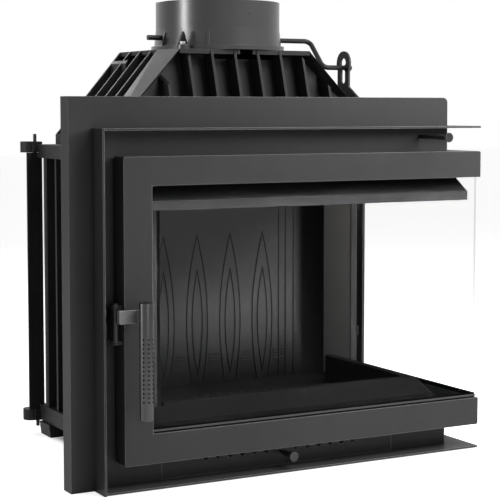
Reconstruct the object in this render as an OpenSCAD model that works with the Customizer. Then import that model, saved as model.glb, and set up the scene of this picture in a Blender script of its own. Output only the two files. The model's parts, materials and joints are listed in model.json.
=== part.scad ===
// Corner fireplace insert with an L-shaped glass door that opens round the right-hand corner.
// X runs along the front, Y to the back, Z up. The modules draw from the lower left corner of
// the door front (x, y) and the floor (z), and place() puts the origin under the middle.

/* [Door] */
// Width of the door front
door_w = 593.5; // [570:1:640]
// Height of the door
door_h = 421; // [400:1:460]
// Depth of the door's side leg
door_side = 363.5; // [345:1:400]
// Depth of the door frame from front to back
door_d = 31; // [26:1:40]
// Height of the door above the floor
door_z = 37.5; // [34:1:50]
// Width of the left bar
bar_left = 42.4; // [36:0.2:55]
// Height of the top bar
bar_top = 39.6; // [34:0.2:50]
// Height of the bottom bar
bar_bottom = 41.5; // [34:0.2:50]
// Width of the rear bar of the side leg
bar_rear = 42.5; // [36:0.5:55]
// Thickness of the door's front skin
skin_t = 4.5; // [3:0.5:6]
// Thickness of the door's returned edge
door_edge = 3; // [2:0.5:4]
// Thickness of the ceramic glass
glass_t = 4; // [3:0.5:5]
// How far the glass reaches behind the bars
glass_lap = 14; // [10:1:18]
// Radius of the door's outer corners
door_r = 3; // [2:0.5:4]
// Radius of the glass clips' screws
clip_r = 2; // [1.5:0.1:2.2]

/* [Handle] */
// Radius of the round grip
grip_r = 10; // [8:0.5:13]
// Length of the grip
grip_len = 158.5; // [120:0.5:190]
// Height of the grip's lower end above the door's lower edge
grip_z = 69.5; // [50:0.5:90]
// Distance of the grip's middle in front of the door
grip_out = 35; // [28:1:45]
// Distance of the grip's middle from the door's left edge
grip_x = 16.7; // [13:0.1:22]
// Height of the flat handle arm
arm_h = 18; // [14:1:24]
// Thickness of the flat handle arm
arm_t = 4; // [3:0.5:5]
// Distance of the arm's top under the grip's top
arm_drop = 12; // [8:1:20]
// Radius of the latch pin
pin_r = 3; // [2.5:0.1:3.5]
// Length of the latch hook
hook_h = 26; // [20:1:34]
// Thickness of the latch keeper's plate
keeper_t = 2; // [1.5:0.5:2.5]

/* [Surround] */
// Distance from the door front to the face behind it, on both sides of the corner
face_gap = 36.5; // [36:0.5:48]
// Gap between the door and the cheeks beside it
cheek_gap = 27; // [24:1:40]
// Sheet thickness of the cheeks, ledges and panels
sheet_t = 3; // [2:0.5:4]
// Height of the top ledge above the door
ledge_up = 38.1; // [34:0.1:44]
// Height of the bottom ledge's upper face
low_ledge_z = 4.2; // [4:0.2:8]
// How far the front panel stands out past the door's left edge
panel_left = 64; // [50:1:90]
// Height of the front panel above the top ledge
panel_up = 42.9; // [30:0.1:60]
// Depth of the panel's folded edges
panel_fold = 27; // [18:1:36]
// Corner radius of the panel
panel_r = 8; // [4:1:12]
// How much wider than the glass opening the window behind it is
window_more = 18; // [15:0.5:20]
// Width of the lower air cover
cover_w = 385; // [340:1:420]
// Height of the lower air cover
cover_h = 46; // [42:1:52]
// Number of air holes on each side of the air knob
hole_count = 6; // [3:1:7]
// Spacing of the air holes
hole_pitch = 19.8; // [17:0.2:22]
// Radius of each air hole
hole_r = 4.5; // [3:0.5:5]
// Width of the slots under the air shutter
air_slot_w = 100; // [80:1:120]
// Distance of the first air slot behind the front wall
air_slot_in = 44; // [40:1:60]

/* [Body] */
// Distance of the cast body's left side inside the door's left edge
body_in = 42.5; // [38:0.5:50]
// Distance of the cast body's back behind the door's rear edge
body_past = 73.5; // [70:0.5:100]
// Height of the body's upper rim above the door
rim_up = 7.5; // [5:0.5:12]
// Thickness of the upper rim
rim_t = 13; // [10:1:16]
// Height of the base casting's underside
base_z = 21; // [18:0.5:24]
// Height of the base casting
base_h = 16.7; // [14:0.1:20]
// Thickness of the cast walls
wall_t = 8; // [6:0.5:10]
// Depth of the left wall's ribs
side_rib = 16; // [12:1:22]
// Depth of the back wall's ribs
back_rib = 32; // [24:1:40]
// Thickness of each wall rib
rib_t = 6; // [4:0.5:8]
// Spacing of the wall ribs
rib_pitch = 40.5; // [34:0.5:50]
// Radius of the corner lugs
lug_r = 14; // [12:0.5:16]
// Height of the corner lugs
lug_h = 17.4; // [14:0.2:20]
// Radius of the tie rods
tie_r = 3; // [2.5:0.1:3.5]
// How far the tie rods stand out of the lugs
tie_out = 12; // [8:1:18]
// Distance of the lugs' middles beside the body
lug_side = 9.5; // [8:0.5:11]
// Distance of the lugs' middles behind the body
lug_back = 9; // [7:0.5:11]
// Width of each foot at the floor
foot_w = 30; // [24:1:36]
// Depth of the frames round the door opening
frame_t = 12; // [10:1:14]

/* [Hearth] */
// Depth of the hearth floor below the glass opening
floor_drop = 13; // [11:0.5:14]
// Thickness of the floor plate, linings and baffles
plate_t = 8; // [6:0.5:9]
// Thickness of the back lining
lining_t = 15; // [12:0.5:18]
// Width of the air channel behind the back lining
channel_w = 10; // [6:0.5:12]
// Thickness of the left lining
side_lining_t = 11; // [8:0.5:12]
// Distance of the linings' upper edge below the glass opening's top
lining_drop = 23.9; // [20:0.1:30]
// Height of the log guard above the glass opening's lower edge
guard_up = 33; // [28:1:38]
// How far the log guard's lip stands in front of the face
guard_out = 14.5; // [12:0.5:16]
// Thickness of the log guard
guard_t = 4; // [3:0.5:5]
// Distance of the guard's side leg inside the mirrored place of its front leg
guard_in = 45.5; // [42:0.5:55]
// Width of the grate
grate_w = 220; // [160:1:260]
// Depth of the grate
grate_d = 160; // [120:1:190]
// Number of slots in the grate
grate_slots = 9; // [5:1:11]
// Width of the grate's plain edge
grate_rim = 12; // [8:1:16]
// Depth of the ash pan
pan_h = 18; // [12:1:19]
// How far the air deflector's lip stands in front of the face
lip_out = 24.5; // [20:0.5:26]
// How far the air deflector hangs below the glass opening's top
lip_drop = 35; // [28:1:40]
// Height of the upper baffle above the linings
baffle_gap = 45; // [43:1:50]
// Number of leaves on the back lining
leaf_count = 5; // [3:1:6]
// Spacing of the leaves as a share of the lining's width
leaf_pitch_share = 0.1328; // [0.12:0.0004:0.14]
// Widest part of a leaf as a share of the spacing
leaf_width_share = 0.653; // [0.5:0.001:0.75]
// Height of a leaf's tip above its widest part
leaf_tip = 148; // [120:1:160]
// Height of the widest part above the hearth floor
leaf_low = 102; // [80:1:120]
// How far the relief stands out
relief = 1.5; // [1:0.1:2.5]

/* [Hood] */
// Height of the hood above the rim
hood_h = 147.3; // [140:0.1:165]
// Height of the hood's straight foot
hood_foot = 16; // [10:1:22]
// Width of the hood's roof between the hip strips
hood_top_w = 227.5; // [210:0.5:240]
// How far the hood's foot stands inside the rim at the sides
hood_in = 20; // [16:1:24]
// How far the hood's foot stands in front of its roof
hood_lean = 39.6; // [34:0.2:46]
// Radius of the opening in the hood's roof
hood_port = 96; // [90:1:97]
// Depth of the hood's fins
fin_d = 30; // [22:1:36]
// Thickness of the hood's fins
fin_t = 4; // [3:0.5:6]
// Spacing of the hood's fins
fin_pitch = 40; // [34:0.5:46]
// Thickness of the hood's shell
shell_t = 7; // [5:0.5:9]
// Sideways width of each hip strip at the roof
hip_w = 12; // [8:1:18]
// Depth of each hip strip at the roof
hip_top = 53; // [46:1:60]
// Depth of each hip strip at the foot
hip_foot = 77.7; // [70:0.1:84]
// Width of the plain field between a hip strip and the nearest fins
hip_gap = 25; // [18:1:30]

/* [Flue] */
// Outer radius of the flue spigot
spigot_r = 98.5; // [96:0.5:100]
// Outer radius of the collar's foot
collar_r = 101.3; // [101:0.1:104]
// Radius of the collar's flange
flange_r = 106; // [105.5:0.5:112]
// Thickness of the collar's flange
flange_t = 7; // [5:0.5:9]
// Height of the collar above its flange
collar_h = 69.2; // [60:0.2:90]
// Height of the straight spigot at the top
spigot_h = 42; // [34:1:44]
// Wall of the collar
collar_t = 4; // [3:0.5:5]
// Distance of the flue's middle in front of the body's back
flue_back = 134; // [128:1:140]
// Radius of the collar bolts
bolt_r = 3; // [2.5:0.1:3.5]

/* [Damper] */
// Radius of the damper plate
damper_r = 91; // [86:0.5:92]
// Half depth of the damper plate between its straight front and rear edges
damper_half = 62; // [50:1:62]
// Thickness of the damper plate
damper_t = 4; // [3:0.5:5]
// Height of the damper shaft above the flange
shaft_up = 12.7; // [11:0.1:16]
// Radius of the damper shaft
shaft_r = 4; // [3:0.5:5]
// Length of the crank between the shaft and its pin
crank_r = 62; // [56:0.5:70]
// How far forward of straight down the crank stands when the damper is closed, in degrees
crank_angle = 45; // [40:1:50]
// How far the damper turns, in degrees
damper_turn = 50; // [30:1:55]
// Radius of the knob rods
rod_r = 3; // [2.5:0.1:3.5]
// Distance of the damper rod inside the side face
rod_in = 51.5; // [47:0.5:56]
// Height of the damper rod above the door
rod_up = 21.9; // [18:0.1:26]
// Radius of the damper link's round head
link_r = 20; // [18:0.5:22]
// Distance of the crank's arm inside the damper link
crank_in = 38; // [34:0.5:39]
// Radius of the knobs
knob_r = 7.2; // [6:0.1:9]
// Length of the knobs
knob_len = 27; // [22:1:27]
// How far the damper knob stands out of the face
damper_out = 76; // [76:1:90]
// How far the air knob stands out of the face
air_out = 38; // [38:1:44]
// How far the air knob is pushed in to shut the air
air_travel = 10; // [8:1:10]

/* [Hinge] */
// Radius of the hinge barrels
barrel_r = 6; // [5.5:0.1:6.4]
// Length of each hinge barrel
barrel_h = 28; // [20:1:36]
// Distance of the hinge axis behind the door's rear edge
hinge_back = 6.5; // [6.5:0.1:8]
// Distance of the hinge axis inside the door's right face
hinge_in = 7.5; // [7:0.1:9]
// Distance of each hinge from the door's nearer end
hinge_end = 62; // [50:1:80]

/* [Hidden] */
$fn = 48;
// Gap between pieces that rest on each other
seat = 0.3;
// Running clearance of a shaft in its hole
fit = 0.05;
// Overrun of a cut past the face it opens
cut = 1;
mid_x = (door_w - panel_left) / 2;
body_d = door_side + body_past - face_gap;
mid_y = (face_gap + body_d + lug_r + lug_back - grip_out - grip_r) / 2;
face_y = face_gap;
side_x = door_w - face_gap;
door_top = door_z + door_h;
ledge_z = door_top + ledge_up;
panel_h = ledge_z + panel_up;
rim_z = door_top + rim_up;
body_w = side_x - body_in;
rod_x = side_x - rod_in;
rod_z = door_top + rod_up;
open_z0 = door_z + bar_bottom;
open_z1 = door_top - bar_top;
open_back = door_side - bar_rear;
win_x0 = bar_left - window_more;
win_z0 = open_z0 - window_more;
win_z1 = open_z1 + window_more;
win_back = open_back - window_more;
cheek_back = door_side + cheek_gap;
back_y = face_y + body_d;
panel_back = back_y - lug_r / 2 - 8 * seat;
rim_x0 = body_in;
body_cx = side_x - body_w / 2;
floor_z = open_z0 - floor_drop;
lining_top = open_z1 - lining_drop;
guard_z = open_z0 + guard_up;
sill_z = open_z0 - 3 * seat;
base_top = base_z + base_h;
wall_z0 = base_top + seat;
wall_z1 = rim_z - rim_t - seat;
in_y = face_y + sheet_t + seat;
in_x = side_x - sheet_t - seat;
left_out = rim_x0 + side_rib;
left_in = left_out + wall_t;
back_out = back_y - back_rib;
back_in = back_out - wall_t;
jamb_in = in_x - sheet_t;
lining_y1 = back_in - channel_w;
lining_y0 = lining_y1 - lining_t;
lining_x0 = left_in + seat + side_lining_t + seat;
lining_x1 = jamb_in - seat - plate_t - seat;
floor_z0 = floor_z - plate_t;
lining_z0 = floor_z + seat;
jamb_y = win_back - window_more;
inner_x = door_w - guard_in - face_y;
flue_x = body_cx;
flue_y = back_y - flue_back;
roof_z = rim_z + hood_h;
collar_z = roof_z + flange_t + seat;
shaft_z = collar_z + shaft_up;
lug_x = rim_x0 - lug_side;
lug_y = back_y + lug_back;
axis_x = door_w - hinge_in;
axis_y = door_side + hinge_back;
hook_x = -2 * pin_r - seat * 3;
latch_y = door_d * 0.45;
arm_z1 = door_z + grip_z + grip_len - arm_drop;
arm_z0 = arm_z1 - arm_h;
hook_z0 = arm_z0 - seat - hook_h;
crank_y = crank_r * sin(crank_angle);
crank_z = crank_r * cos(crank_angle);

// The three corner lugs: rear left, rear right and front left. The glass corner has none.
function lug_front() = face_y + sheet_t + lug_r + 2 * seat;

// Puts the origin on the floor under the middle of the whole insert
module place() {
    translate([-mid_x, -mid_y, 0]) children();
}

// A box given by two opposite corners
module block(low, high) {
    translate(low) cube(high - low);
}

module front_panel() color("#3a3a3c") place() {
    difference() {
        union() {
            translate([0, face_y + sheet_t, 0]) rotate([90, 0, 0]) linear_extrude(sheet_t)
                panel_outline();
            block([-panel_left, face_y, 0], [-panel_left + sheet_t, face_y + panel_fold, panel_h]);
            block([-panel_left, face_y, panel_h - sheet_t],
                [side_x - panel_r, face_y + panel_fold, panel_h]);
        }
        block([win_x0, face_y - cut, win_z0], [side_x + cut, face_y + sheet_t + cut, win_z1]);
        block([mid_x - cover_w / 2 - seat, face_y - cut, low_ledge_z + seat],
            [mid_x + cover_w / 2 + seat, face_y + sheet_t + cut, low_ledge_z + cover_h]);
        translate([rod_x, face_y - cut, rod_z]) rotate([-90, 0, 0])
            cylinder(r = rod_r + fit, h = sheet_t + 2 * cut);
    }
}

module panel_outline() {
    translate([-panel_left, 0]) square([side_x + panel_left, panel_h - panel_r]);
    translate([-panel_left, 0]) square([side_x + panel_left - panel_r, panel_h]);
    translate([side_x - panel_r, panel_h - panel_r]) circle(panel_r);
}

module side_panel() color("#3a3a3c") place() {
    y0 = face_y + sheet_t + seat;
    difference() {
        union() {
            block([side_x - sheet_t, y0, 0], [side_x, panel_back, panel_h - panel_r]);
            block([side_x - sheet_t, y0 + panel_r, 0], [side_x, panel_back, panel_h]);
            translate([side_x - sheet_t, y0 + panel_r, panel_h - panel_r]) rotate([0, 90, 0])
                cylinder(r = panel_r, h = sheet_t);
            block([side_x - panel_fold, face_y + panel_fold + seat, panel_h - sheet_t],
                [side_x, panel_back, panel_h]);
        }
        block([side_x - sheet_t - cut, y0 - cut, win_z0], [side_x + cut, win_back, win_z1]);
    }
}

module left_cheek() color("#434346") place() {
    block([-cheek_gap - sheet_t, 0, 0], [-cheek_gap, face_y - seat, ledge_z]);
}

module rear_cheek() color("#434346") place() {
    block([side_x + seat, cheek_back, 0], [door_w, cheek_back + sheet_t, ledge_z]);
}

module top_ledge() color("#434346") place() {
    z0 = ledge_z - sheet_t;
    block([-cheek_gap + seat, 0, z0], [door_w, face_y - seat, ledge_z]);
    block([side_x + seat, 0, z0], [door_w, cheek_back - seat, ledge_z]);
}

module bottom_ledge() color("#434346") place() {
    z0 = low_ledge_z - sheet_t;
    block([-cheek_gap + seat, 0, z0], [door_w, face_y - seat, low_ledge_z]);
    block([side_x + seat, 0, z0], [door_w, cheek_back - seat, low_ledge_z]);
}

module air_cover() color("#3a3a3c") place() {
    difference() {
        block([mid_x - cover_w / 2, face_y, low_ledge_z + 2 * seat],
            [mid_x + cover_w / 2, face_y + sheet_t, low_ledge_z + cover_h - seat]);
        for (side = [-1, 1])
            for (i = [0:hole_count - 1])
                translate([mid_x + side * (hole_pitch * 1.25 + i * hole_pitch), face_y - cut,
                    base_z + 1.7 * hole_r])
                    rotate([-90, 0, 0]) cylinder(r = hole_r, h = sheet_t + 2 * cut);
        translate([mid_x, face_y - cut, air_z()]) rotate([-90, 0, 0])
            cylinder(r = rod_r + fit, h = sheet_t + 2 * cut);
    }
}

function air_z() = shutter_z0() - rod_r - seat;

module at_lugs() {
    for (p = [[lug_x, lug_y], [lug_x2(), lug_y], [lug_x, lug_front()]])
        translate([p[0], p[1], 0]) children();
}

function lug_x2() = in_x + rim_x0 - lug_x;

// The tie rod stands off the lug's middle, towards the body
module at_ties() {
    dx = lug_r * 0.6;
    for (p = [[lug_x + dx, lug_y - dx / 2], [lug_x2() - dx, lug_y - dx / 2],
        [lug_x + dx / 2, lug_front() + dx / 2]])
        translate([p[0], p[1], 0]) children();
}

module lugs(z0) {
    difference() {
        union() {
            translate([0, 0, z0]) at_lugs() cylinder(r = lug_r, h = lug_h);
            block([lug_x, back_y - lug_r / 2, z0], [rim_x0 + lug_r / 2, lug_y, z0 + lug_h]);
            block([in_x - lug_r / 2, back_y - lug_r / 2, z0], [lug_x2(), lug_y, z0 + lug_h]);
            block([lug_x, lug_front() - lug_r / 2, z0],
                [rim_x0 + lug_r / 2, lug_front() + lug_r / 2, z0 + lug_h]);
        }
        translate([0, 0, z0 - cut]) at_ties() cylinder(r = tie_r + fit, h = lug_h + 2 * cut);
    }
}

module tie_holes(z0, h) {
    translate([0, 0, z0]) at_ties() cylinder(r = tie_r + fit, h = h);
}

module base_casting() color("#2b2b2d") place() {
    slot_y = in_y + air_slot_in;
    guide = shutter_half() + seat;
    difference() {
        union() {
            block([rim_x0, in_y, base_z], [in_x, back_y, base_top]);
            lugs(base_top - lug_h);
        }
        block([rim_x0 + wall_t, in_y + wall_t, base_z - cut],
            [in_x - wall_t, back_y - wall_t, base_top - wall_t]);
        block([mid_x - cover_w / 2, in_y - cut, base_z - cut],
            [mid_x + cover_w / 2, in_y + wall_t + cut, base_top - wall_t]);
        for (i = [0:2])
            block([mid_x - air_slot_w / 2, slot_y + i * air_travel * 2, base_z],
                [mid_x + air_slot_w / 2, slot_y + (i * 2 + 1) * air_travel - seat, base_top + cut]);
        tie_holes(base_z - cut, base_h + 2 * cut);
    }
    for (side = [-1, 1])
        mirrored(side) {
            block([guide, slot_y - air_travel, shutter_z0() - seat - sheet_t],
                [guide + 2 * sheet_t, slot_y + air_travel * 6, base_top - wall_t]);
            block([guide - sheet_t, slot_y - air_travel, shutter_z0() - seat - sheet_t],
                [guide + 2 * sheet_t, slot_y + air_travel * 6, shutter_z0() - seat]);
        }
}

// Keeps its children on the right of the middle, or mirrors them to the left
module mirrored(side) {
    translate([mid_x, 0, 0]) mirror([side < 0 ? 1 : 0, 0, 0]) children();
}

function shutter_z0() = base_top - wall_t - seat - sheet_t;
function shutter_half() = air_slot_w / 2 + wall_t * 1.25;

module air_shutter() color("#8c8c8e") place() {
    slot_y = in_y + air_slot_in;
    tab_y = slot_y - air_travel;
    z0 = shutter_z0();
    difference() {
        block([mid_x - shutter_half(), tab_y, z0],
            [mid_x + shutter_half(), slot_y + air_travel * 5, z0 + sheet_t]);
        for (i = [0:2])
            block([mid_x - air_slot_w / 2, slot_y + i * air_travel * 2, z0 - cut],
                [mid_x + air_slot_w / 2, slot_y + (i * 2 + 1) * air_travel - seat, z0 + sheet_t + cut]);
    }
    difference() {
        block([mid_x - 3 * rod_r, tab_y, air_z() - 2 * rod_r], [mid_x + 3 * rod_r, tab_y + sheet_t, z0]);
        translate([mid_x, tab_y - cut, air_z()]) rotate([-90, 0, 0])
            cylinder(r = rod_r + fit, h = sheet_t + 2 * cut);
    }
}

module air_rod() color("#1f1f20") place() {
    y0 = face_y - air_out + knob_len / 2;
    translate([mid_x, y0, air_z()]) rotate([-90, 0, 0])
        cylinder(r = rod_r, h = in_y + air_slot_in - air_travel + sheet_t - y0);
}

// Trumpet-shaped pull knob with its flat end at y0, pointing to the front
module knob(y0) {
    translate([0, y0, 0]) rotate([-90, 0, 0]) difference() {
        union() {
            rotate_extrude() polygon([[0, 0], [knob_r, 0], [knob_r, knob_len * 0.06],
                [knob_r * 0.85, knob_len * 0.16], [knob_r * 0.64, knob_len * 0.4],
                [knob_r * 0.56, knob_len * 0.7], [knob_r * 0.54, knob_len], [0, knob_len]]);
        }
        translate([0, 0, knob_len / 2]) cylinder(r = rod_r + fit, h = knob_len);
    }
}

module air_knob() color("#1b1b1c") place() {
    translate([mid_x, 0, air_z()]) knob(face_y - air_out - seat);
}

module feet() color("#2b2b2d") place() {
    for (x = [rim_x0 - foot_w / 15, in_x - foot_w * 7 / 6])
        for (y = [face_y + panel_fold + foot_w * 2 / 3, back_y - foot_w * 11 / 6])
            translate([x, y + foot_w * 1.4, 0]) rotate([90, 0, 0]) linear_extrude(foot_w * 1.4)
                polygon([[0, 0], [foot_w, 0], [foot_w * 1.1, base_z - seat],
                    [-foot_w * 0.1, base_z - seat]]);
}

module left_wall() color("#2b2b2d") place() {
    block([left_out, in_y, wall_z0], [left_in, back_out - seat, wall_z1]);
    block([rim_x0, in_y, wall_z1 - wall_t], [left_in, back_out - seat, wall_z1]);
    block([rim_x0, in_y, wall_z0], [left_in, back_out - seat, wall_z0 + wall_t]);
    count = floor((back_out - in_y) / rib_pitch);
    for (i = [0:count - 1])
        block([rim_x0 + side_rib / 8, back_out - rib_t - seat - i * rib_pitch, wall_z0],
            [left_out + cut, back_out - seat - i * rib_pitch, wall_z1]);
    block([left_in - cut, in_y + 2 * frame_t, floor_z0 - seat - wall_t],
        [left_in + side_lining_t / 2, back_in - 2 * frame_t, floor_z0 - seat]);
    for (y = bracket_y())
        block([left_in - cut, y, upper_z() - seat - wall_t],
            [left_in + side_lining_t, y + 2 * wall_t, upper_z() - seat]);
}

function upper_z() = lining_top + baffle_gap;
function bracket_y() = [in_y + body_d * 0.1, in_y + body_d * 0.5];

module back_wall() color("#2b2b2d") place() {
    block([left_in + seat, back_out - wall_t, wall_z0], [in_x - sheet_t, back_out, wall_z1]);
    block([rim_x0, back_out, wall_z1 - wall_t], [in_x, back_y, wall_z1]);
    block([rim_x0, back_out, wall_z0], [in_x, back_y, wall_z0 + wall_t]);
    count = floor((body_w / 2 - rib_t / 2 - sheet_t - 2 * seat) / rib_pitch);
    for (i = [-count:count])
        block([body_cx + i * rib_pitch - rib_t / 2, back_out, wall_z0],
            [body_cx + i * rib_pitch + rib_t / 2, back_y, wall_z1]);
    block([lug_x - wall_t, back_y - sheet_t, wall_z0], [rim_x0 + wall_t, back_y, wall_z1]);
    block([in_x - wall_t, back_y - sheet_t, wall_z0], [lug_x2() + wall_t, back_y, wall_z1]);
    block([lining_x0, lining_y1 + channel_w * 0.6, floor_z0 - seat - wall_t],
        [lining_x1, back_in + cut, floor_z0 - seat]);
}

module right_wall() color("#2b2b2d") place() {
    block([jamb_in, jamb_y, floor_z0], [in_x, back_in - seat, wall_z1]);
}

module lower_frame() color("#2b2b2d") place() {
    inner = inner_x - sheet_t - seat;
    block([left_in + seat, in_y, wall_z0], [in_x, in_y + frame_t, sill_z]);
    block([inner - frame_t, in_y, wall_z0], [inner, jamb_y - seat, sill_z]);
    block([inner - cut, in_y, sill_z - wall_t], [in_x, jamb_y - seat, sill_z]);
    block([in_x - wall_t, in_y, wall_z0], [in_x, jamb_y - seat, sill_z]);
    block([in_x - wall_t, jamb_y - seat - cut, wall_z0], [in_x, back_in - seat, floor_z0 - seat]);
}

module upper_frame() color("#2b2b2d") place() {
    z0 = win_z1 - frame_t / 3;
    block([left_in + seat, in_y, z0], [in_x, in_y + frame_t, wall_z1]);
    block([in_x - frame_t, in_y, z0], [in_x, jamb_y - seat, wall_z1]);
    for (y = bracket_y())
        block([in_x - frame_t - side_lining_t, y, upper_z() - seat - wall_t],
            [in_x - frame_t + cut, y + 2 * wall_t, upper_z() - seat]);
}

// Plan outline of the hood at a share of its height: 0 at the foot, 1 at the roof. The first
// two points are the right hip strip's edges, the last two the left one's.
function hood_plan(t, in_front = 0, in_side = 0, in_corner = 0) =
    let (half_foot = body_w / 2 - hood_in,
        front_y = hood_foot_y() + t * hood_lean,
        half_p = half_foot + t * (hood_top_w / 2 - half_foot) - in_side - in_corner,
        half_q = half_foot + t * (hood_top_w / 2 + hip_w - half_foot) - in_side,
        side_y = front_y + hip_foot + t * (hip_top - hip_foot) + in_front + in_corner,
        rear_y = back_out - in_side / 3)
    [[half_p, front_y + in_front], [half_q, side_y], [half_q, rear_y],
        [-half_q, rear_y], [-half_q, side_y], [-half_p, front_y + in_front]];

function hood_foot_y() = flue_y - hood_port + 2 * seat - hood_lean;

module hood_form(in_front = 0, in_side = 0, in_corner = 0, drop = 0) {
    translate([body_cx, 0, 0]) hull() {
        translate([0, 0, rim_z + hood_foot - drop - seat]) linear_extrude(seat)
            polygon(hood_plan(0, in_front, in_side, in_corner));
        translate([0, 0, roof_z - seat - drop]) linear_extrude(seat)
            polygon(hood_plan(1, in_front, in_side, in_corner));
    }
}

// Plan of the right hip strip, which stands out of the finned faces on both of its sides
function strip_plan(t) =
    let (p = hood_plan(t)[0], q = hood_plan(t)[1], deep = fin_d + 2 * seat)
    [p, q, [q[0] - deep, q[1]], [p[0], p[1] + deep]];

module hip_strip() {
    hull() {
        translate([0, 0, rim_z + hood_foot - seat]) linear_extrude(seat) polygon(strip_plan(0));
        translate([0, 0, roof_z - seat]) linear_extrude(seat) polygon(strip_plan(1));
    }
}

module hood() color("#333335") place() {
    difference() {
        union() {
            block([rim_x0, in_y, rim_z - rim_t], [in_x, back_y, rim_z]);
            translate([0, 0, rim_z - rim_t]) lugs(0);
            translate([body_cx, 0, rim_z - cut]) linear_extrude(hood_foot + cut)
                polygon(hood_plan(0));
            translate([body_cx, 0, roof_z - shell_t]) linear_extrude(shell_t) polygon(hood_plan(1));
            hood_form(fin_d, fin_d, -fin_d);
            translate([body_cx, 0, 0]) hip_strip();
            translate([body_cx, 0, 0]) mirror([1, 0, 0]) hip_strip();
            intersection() {
                hood_form(0, 0, hip_gap);
                hood_fins();
            }
        }
        hood_form(fin_d + shell_t, fin_d + shell_t, 0, shell_t);
        translate([body_cx, 0, rim_z - rim_t - cut])
            linear_extrude(rim_t + hood_foot - shell_t + cut + seat)
                polygon(hood_plan(0, fin_d + shell_t, fin_d + shell_t, 0));
        translate([flue_x, flue_y, roof_z - 2 * shell_t]) cylinder(r = hood_port, h = 3 * shell_t);
        tie_holes(rim_z - rim_t - cut, rim_t + lug_h);
        at_bolts() translate([0, 0, roof_z - shell_t]) cylinder(r = bolt_r + fit, h = 2 * shell_t);
    }
}

module hood_fins() {
    count = floor(hood_top_w / fin_pitch / 2) + 2;
    for (i = [-count:count - 1])
        for (y = [face_y, back_out - 2 * fin_d])
            translate([body_cx + (i + 0.5) * fin_pitch - fin_t / 2, y, rim_z])
                cube([fin_t, y == face_y ? flue_y - hood_port - face_y + 2 * fin_d : 2 * fin_d, hood_h]);
    for (i = [0:3])
        translate([rim_x0, back_out - fin_t - i * fin_pitch, rim_z]) cube([body_w, fin_t, hood_h]);
}

module tie_rods() color("#5c5c5f") place() {
    translate([0, 0, base_z - tie_out]) at_ties()
        cylinder(r = tie_r, h = rim_z - rim_t + lug_h + 2 * tie_out - base_z);
}

function bolt_angles() = [215, 35];

module at_bolts() {
    for (a = bolt_angles())
        translate([flue_x, flue_y, 0]) rotate([0, 0, a]) translate([flange_r + 2.4 * bolt_r, 0, 0])
            children();
}

module flue_collar() color("#4a4a4d") place() {
    lift = collar_h - spigot_h;
    difference() {
        union() {
            translate([flue_x, flue_y, collar_z - flange_t]) {
                cylinder(r = flange_r, h = flange_t);
                translate([0, 0, flange_t]) cylinder(r1 = collar_r, r2 = spigot_r, h = lift);
                translate([0, 0, flange_t + lift]) cylinder(r = spigot_r, h = spigot_h);
                for (a = gusset_angles())
                    rotate([0, 0, a]) gusset(flange_r - spigot_r, lift * 0.8);
            }
            at_bolts() {
                translate([0, 0, collar_z - flange_t]) cylinder(r = 3.6 * bolt_r, h = flange_t);
                for (side = [-1, 1])
                    translate([-flange_r - 2.4 * bolt_r, side * 2.9 * bolt_r, collar_z - flange_t])
                        gusset(flange_r - spigot_r + 3.4 * bolt_r, lift * 0.8);
            }
        }
        translate([flue_x, flue_y, collar_z - flange_t - cut])
            cylinder(r = spigot_r - collar_t, h = flange_t + collar_h + 2 * cut);
        translate([flue_x, flue_y, shaft_z]) rotate([0, 90, 0])
            cylinder(r = shaft_r + fit, h = 3 * flange_r, center = true);
        at_bolts() translate([0, 0, collar_z - flange_t - cut])
            cylinder(r = bolt_r + fit, h = flange_t + 2 * cut);
    }
}

function gusset_angles() = [187, 234.5, 8, 54.5];

module gusset(reach, rise) {
    translate([spigot_r - collar_t / 2, sheet_t / 2, flange_t - cut]) rotate([90, 0, 0])
        linear_extrude(sheet_t) polygon([[0, 0], [reach + collar_t / 2, 0],
            [collar_t, rise], [0, rise]]);
}

module collar_bolts() color("#9a9a9c") place() {
    at_bolts() {
        translate([0, 0, collar_z + seat]) cylinder(r = 1.8 * bolt_r, h = 1.5 * bolt_r, $fn = 6);
        translate([0, 0, collar_z - flange_t]) cylinder(r = bolt_r, h = flange_t + 2 * seat);
    }
}

module damper_plate() color("#2a2a2b") place() {
    translate([flue_x, flue_y, shaft_z]) difference() {
        union() {
            intersection() {
                cylinder(r = damper_r, h = damper_t, center = true);
                cube([2 * damper_r, 2 * damper_half, damper_t], center = true);
            }
            rotate([0, 90, 0]) cylinder(r = shaft_r * 1.75, h = damper_r * 1.7, center = true);
        }
        rotate([0, 90, 0]) cylinder(r = shaft_r + fit, h = 3 * damper_r, center = true);
    }
}

// Quarter bend of round bar from +X to -Z, starting at the origin
module bend(r, bar) {
    translate([0, 0, -r]) rotate([90, 0, 0]) rotate_extrude(angle = 90) translate([r, 0]) circle(bar);
}

module damper_shaft() color("#2a2a2b") place() {
    bend_r = shaft_r * 2.5;
    start = flange_r + 4.25 * shaft_r;
    turn_x = link_x() - crank_in - bend_r - flue_x;
    translate([flue_x, flue_y, shaft_z]) {
        rotate([-crank_angle, 0, 0]) {
            translate([-start, 0, 0]) rotate([0, 90, 0]) cylinder(r = shaft_r, h = start + turn_x);
            translate([turn_x, 0, 0]) bend(bend_r, shaft_r);
            translate([turn_x + bend_r, 0, bend_r - crank_r]) cylinder(r = shaft_r, h = crank_r - 2 * bend_r);
            translate([turn_x + 2 * bend_r, 0, -crank_r]) rotate([0, 0, 180])
                mirror([0, 0, 1]) bend(bend_r, shaft_r);
            translate([turn_x + 2 * bend_r, 0, -crank_r]) rotate([0, 90, 0])
                cylinder(r = shaft_r, h = link_x() + sheet_t + 3 * shaft_r - flue_x - turn_x - 2 * bend_r);
        }
    }
}

function link_x() = rod_x + rod_r;

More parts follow.
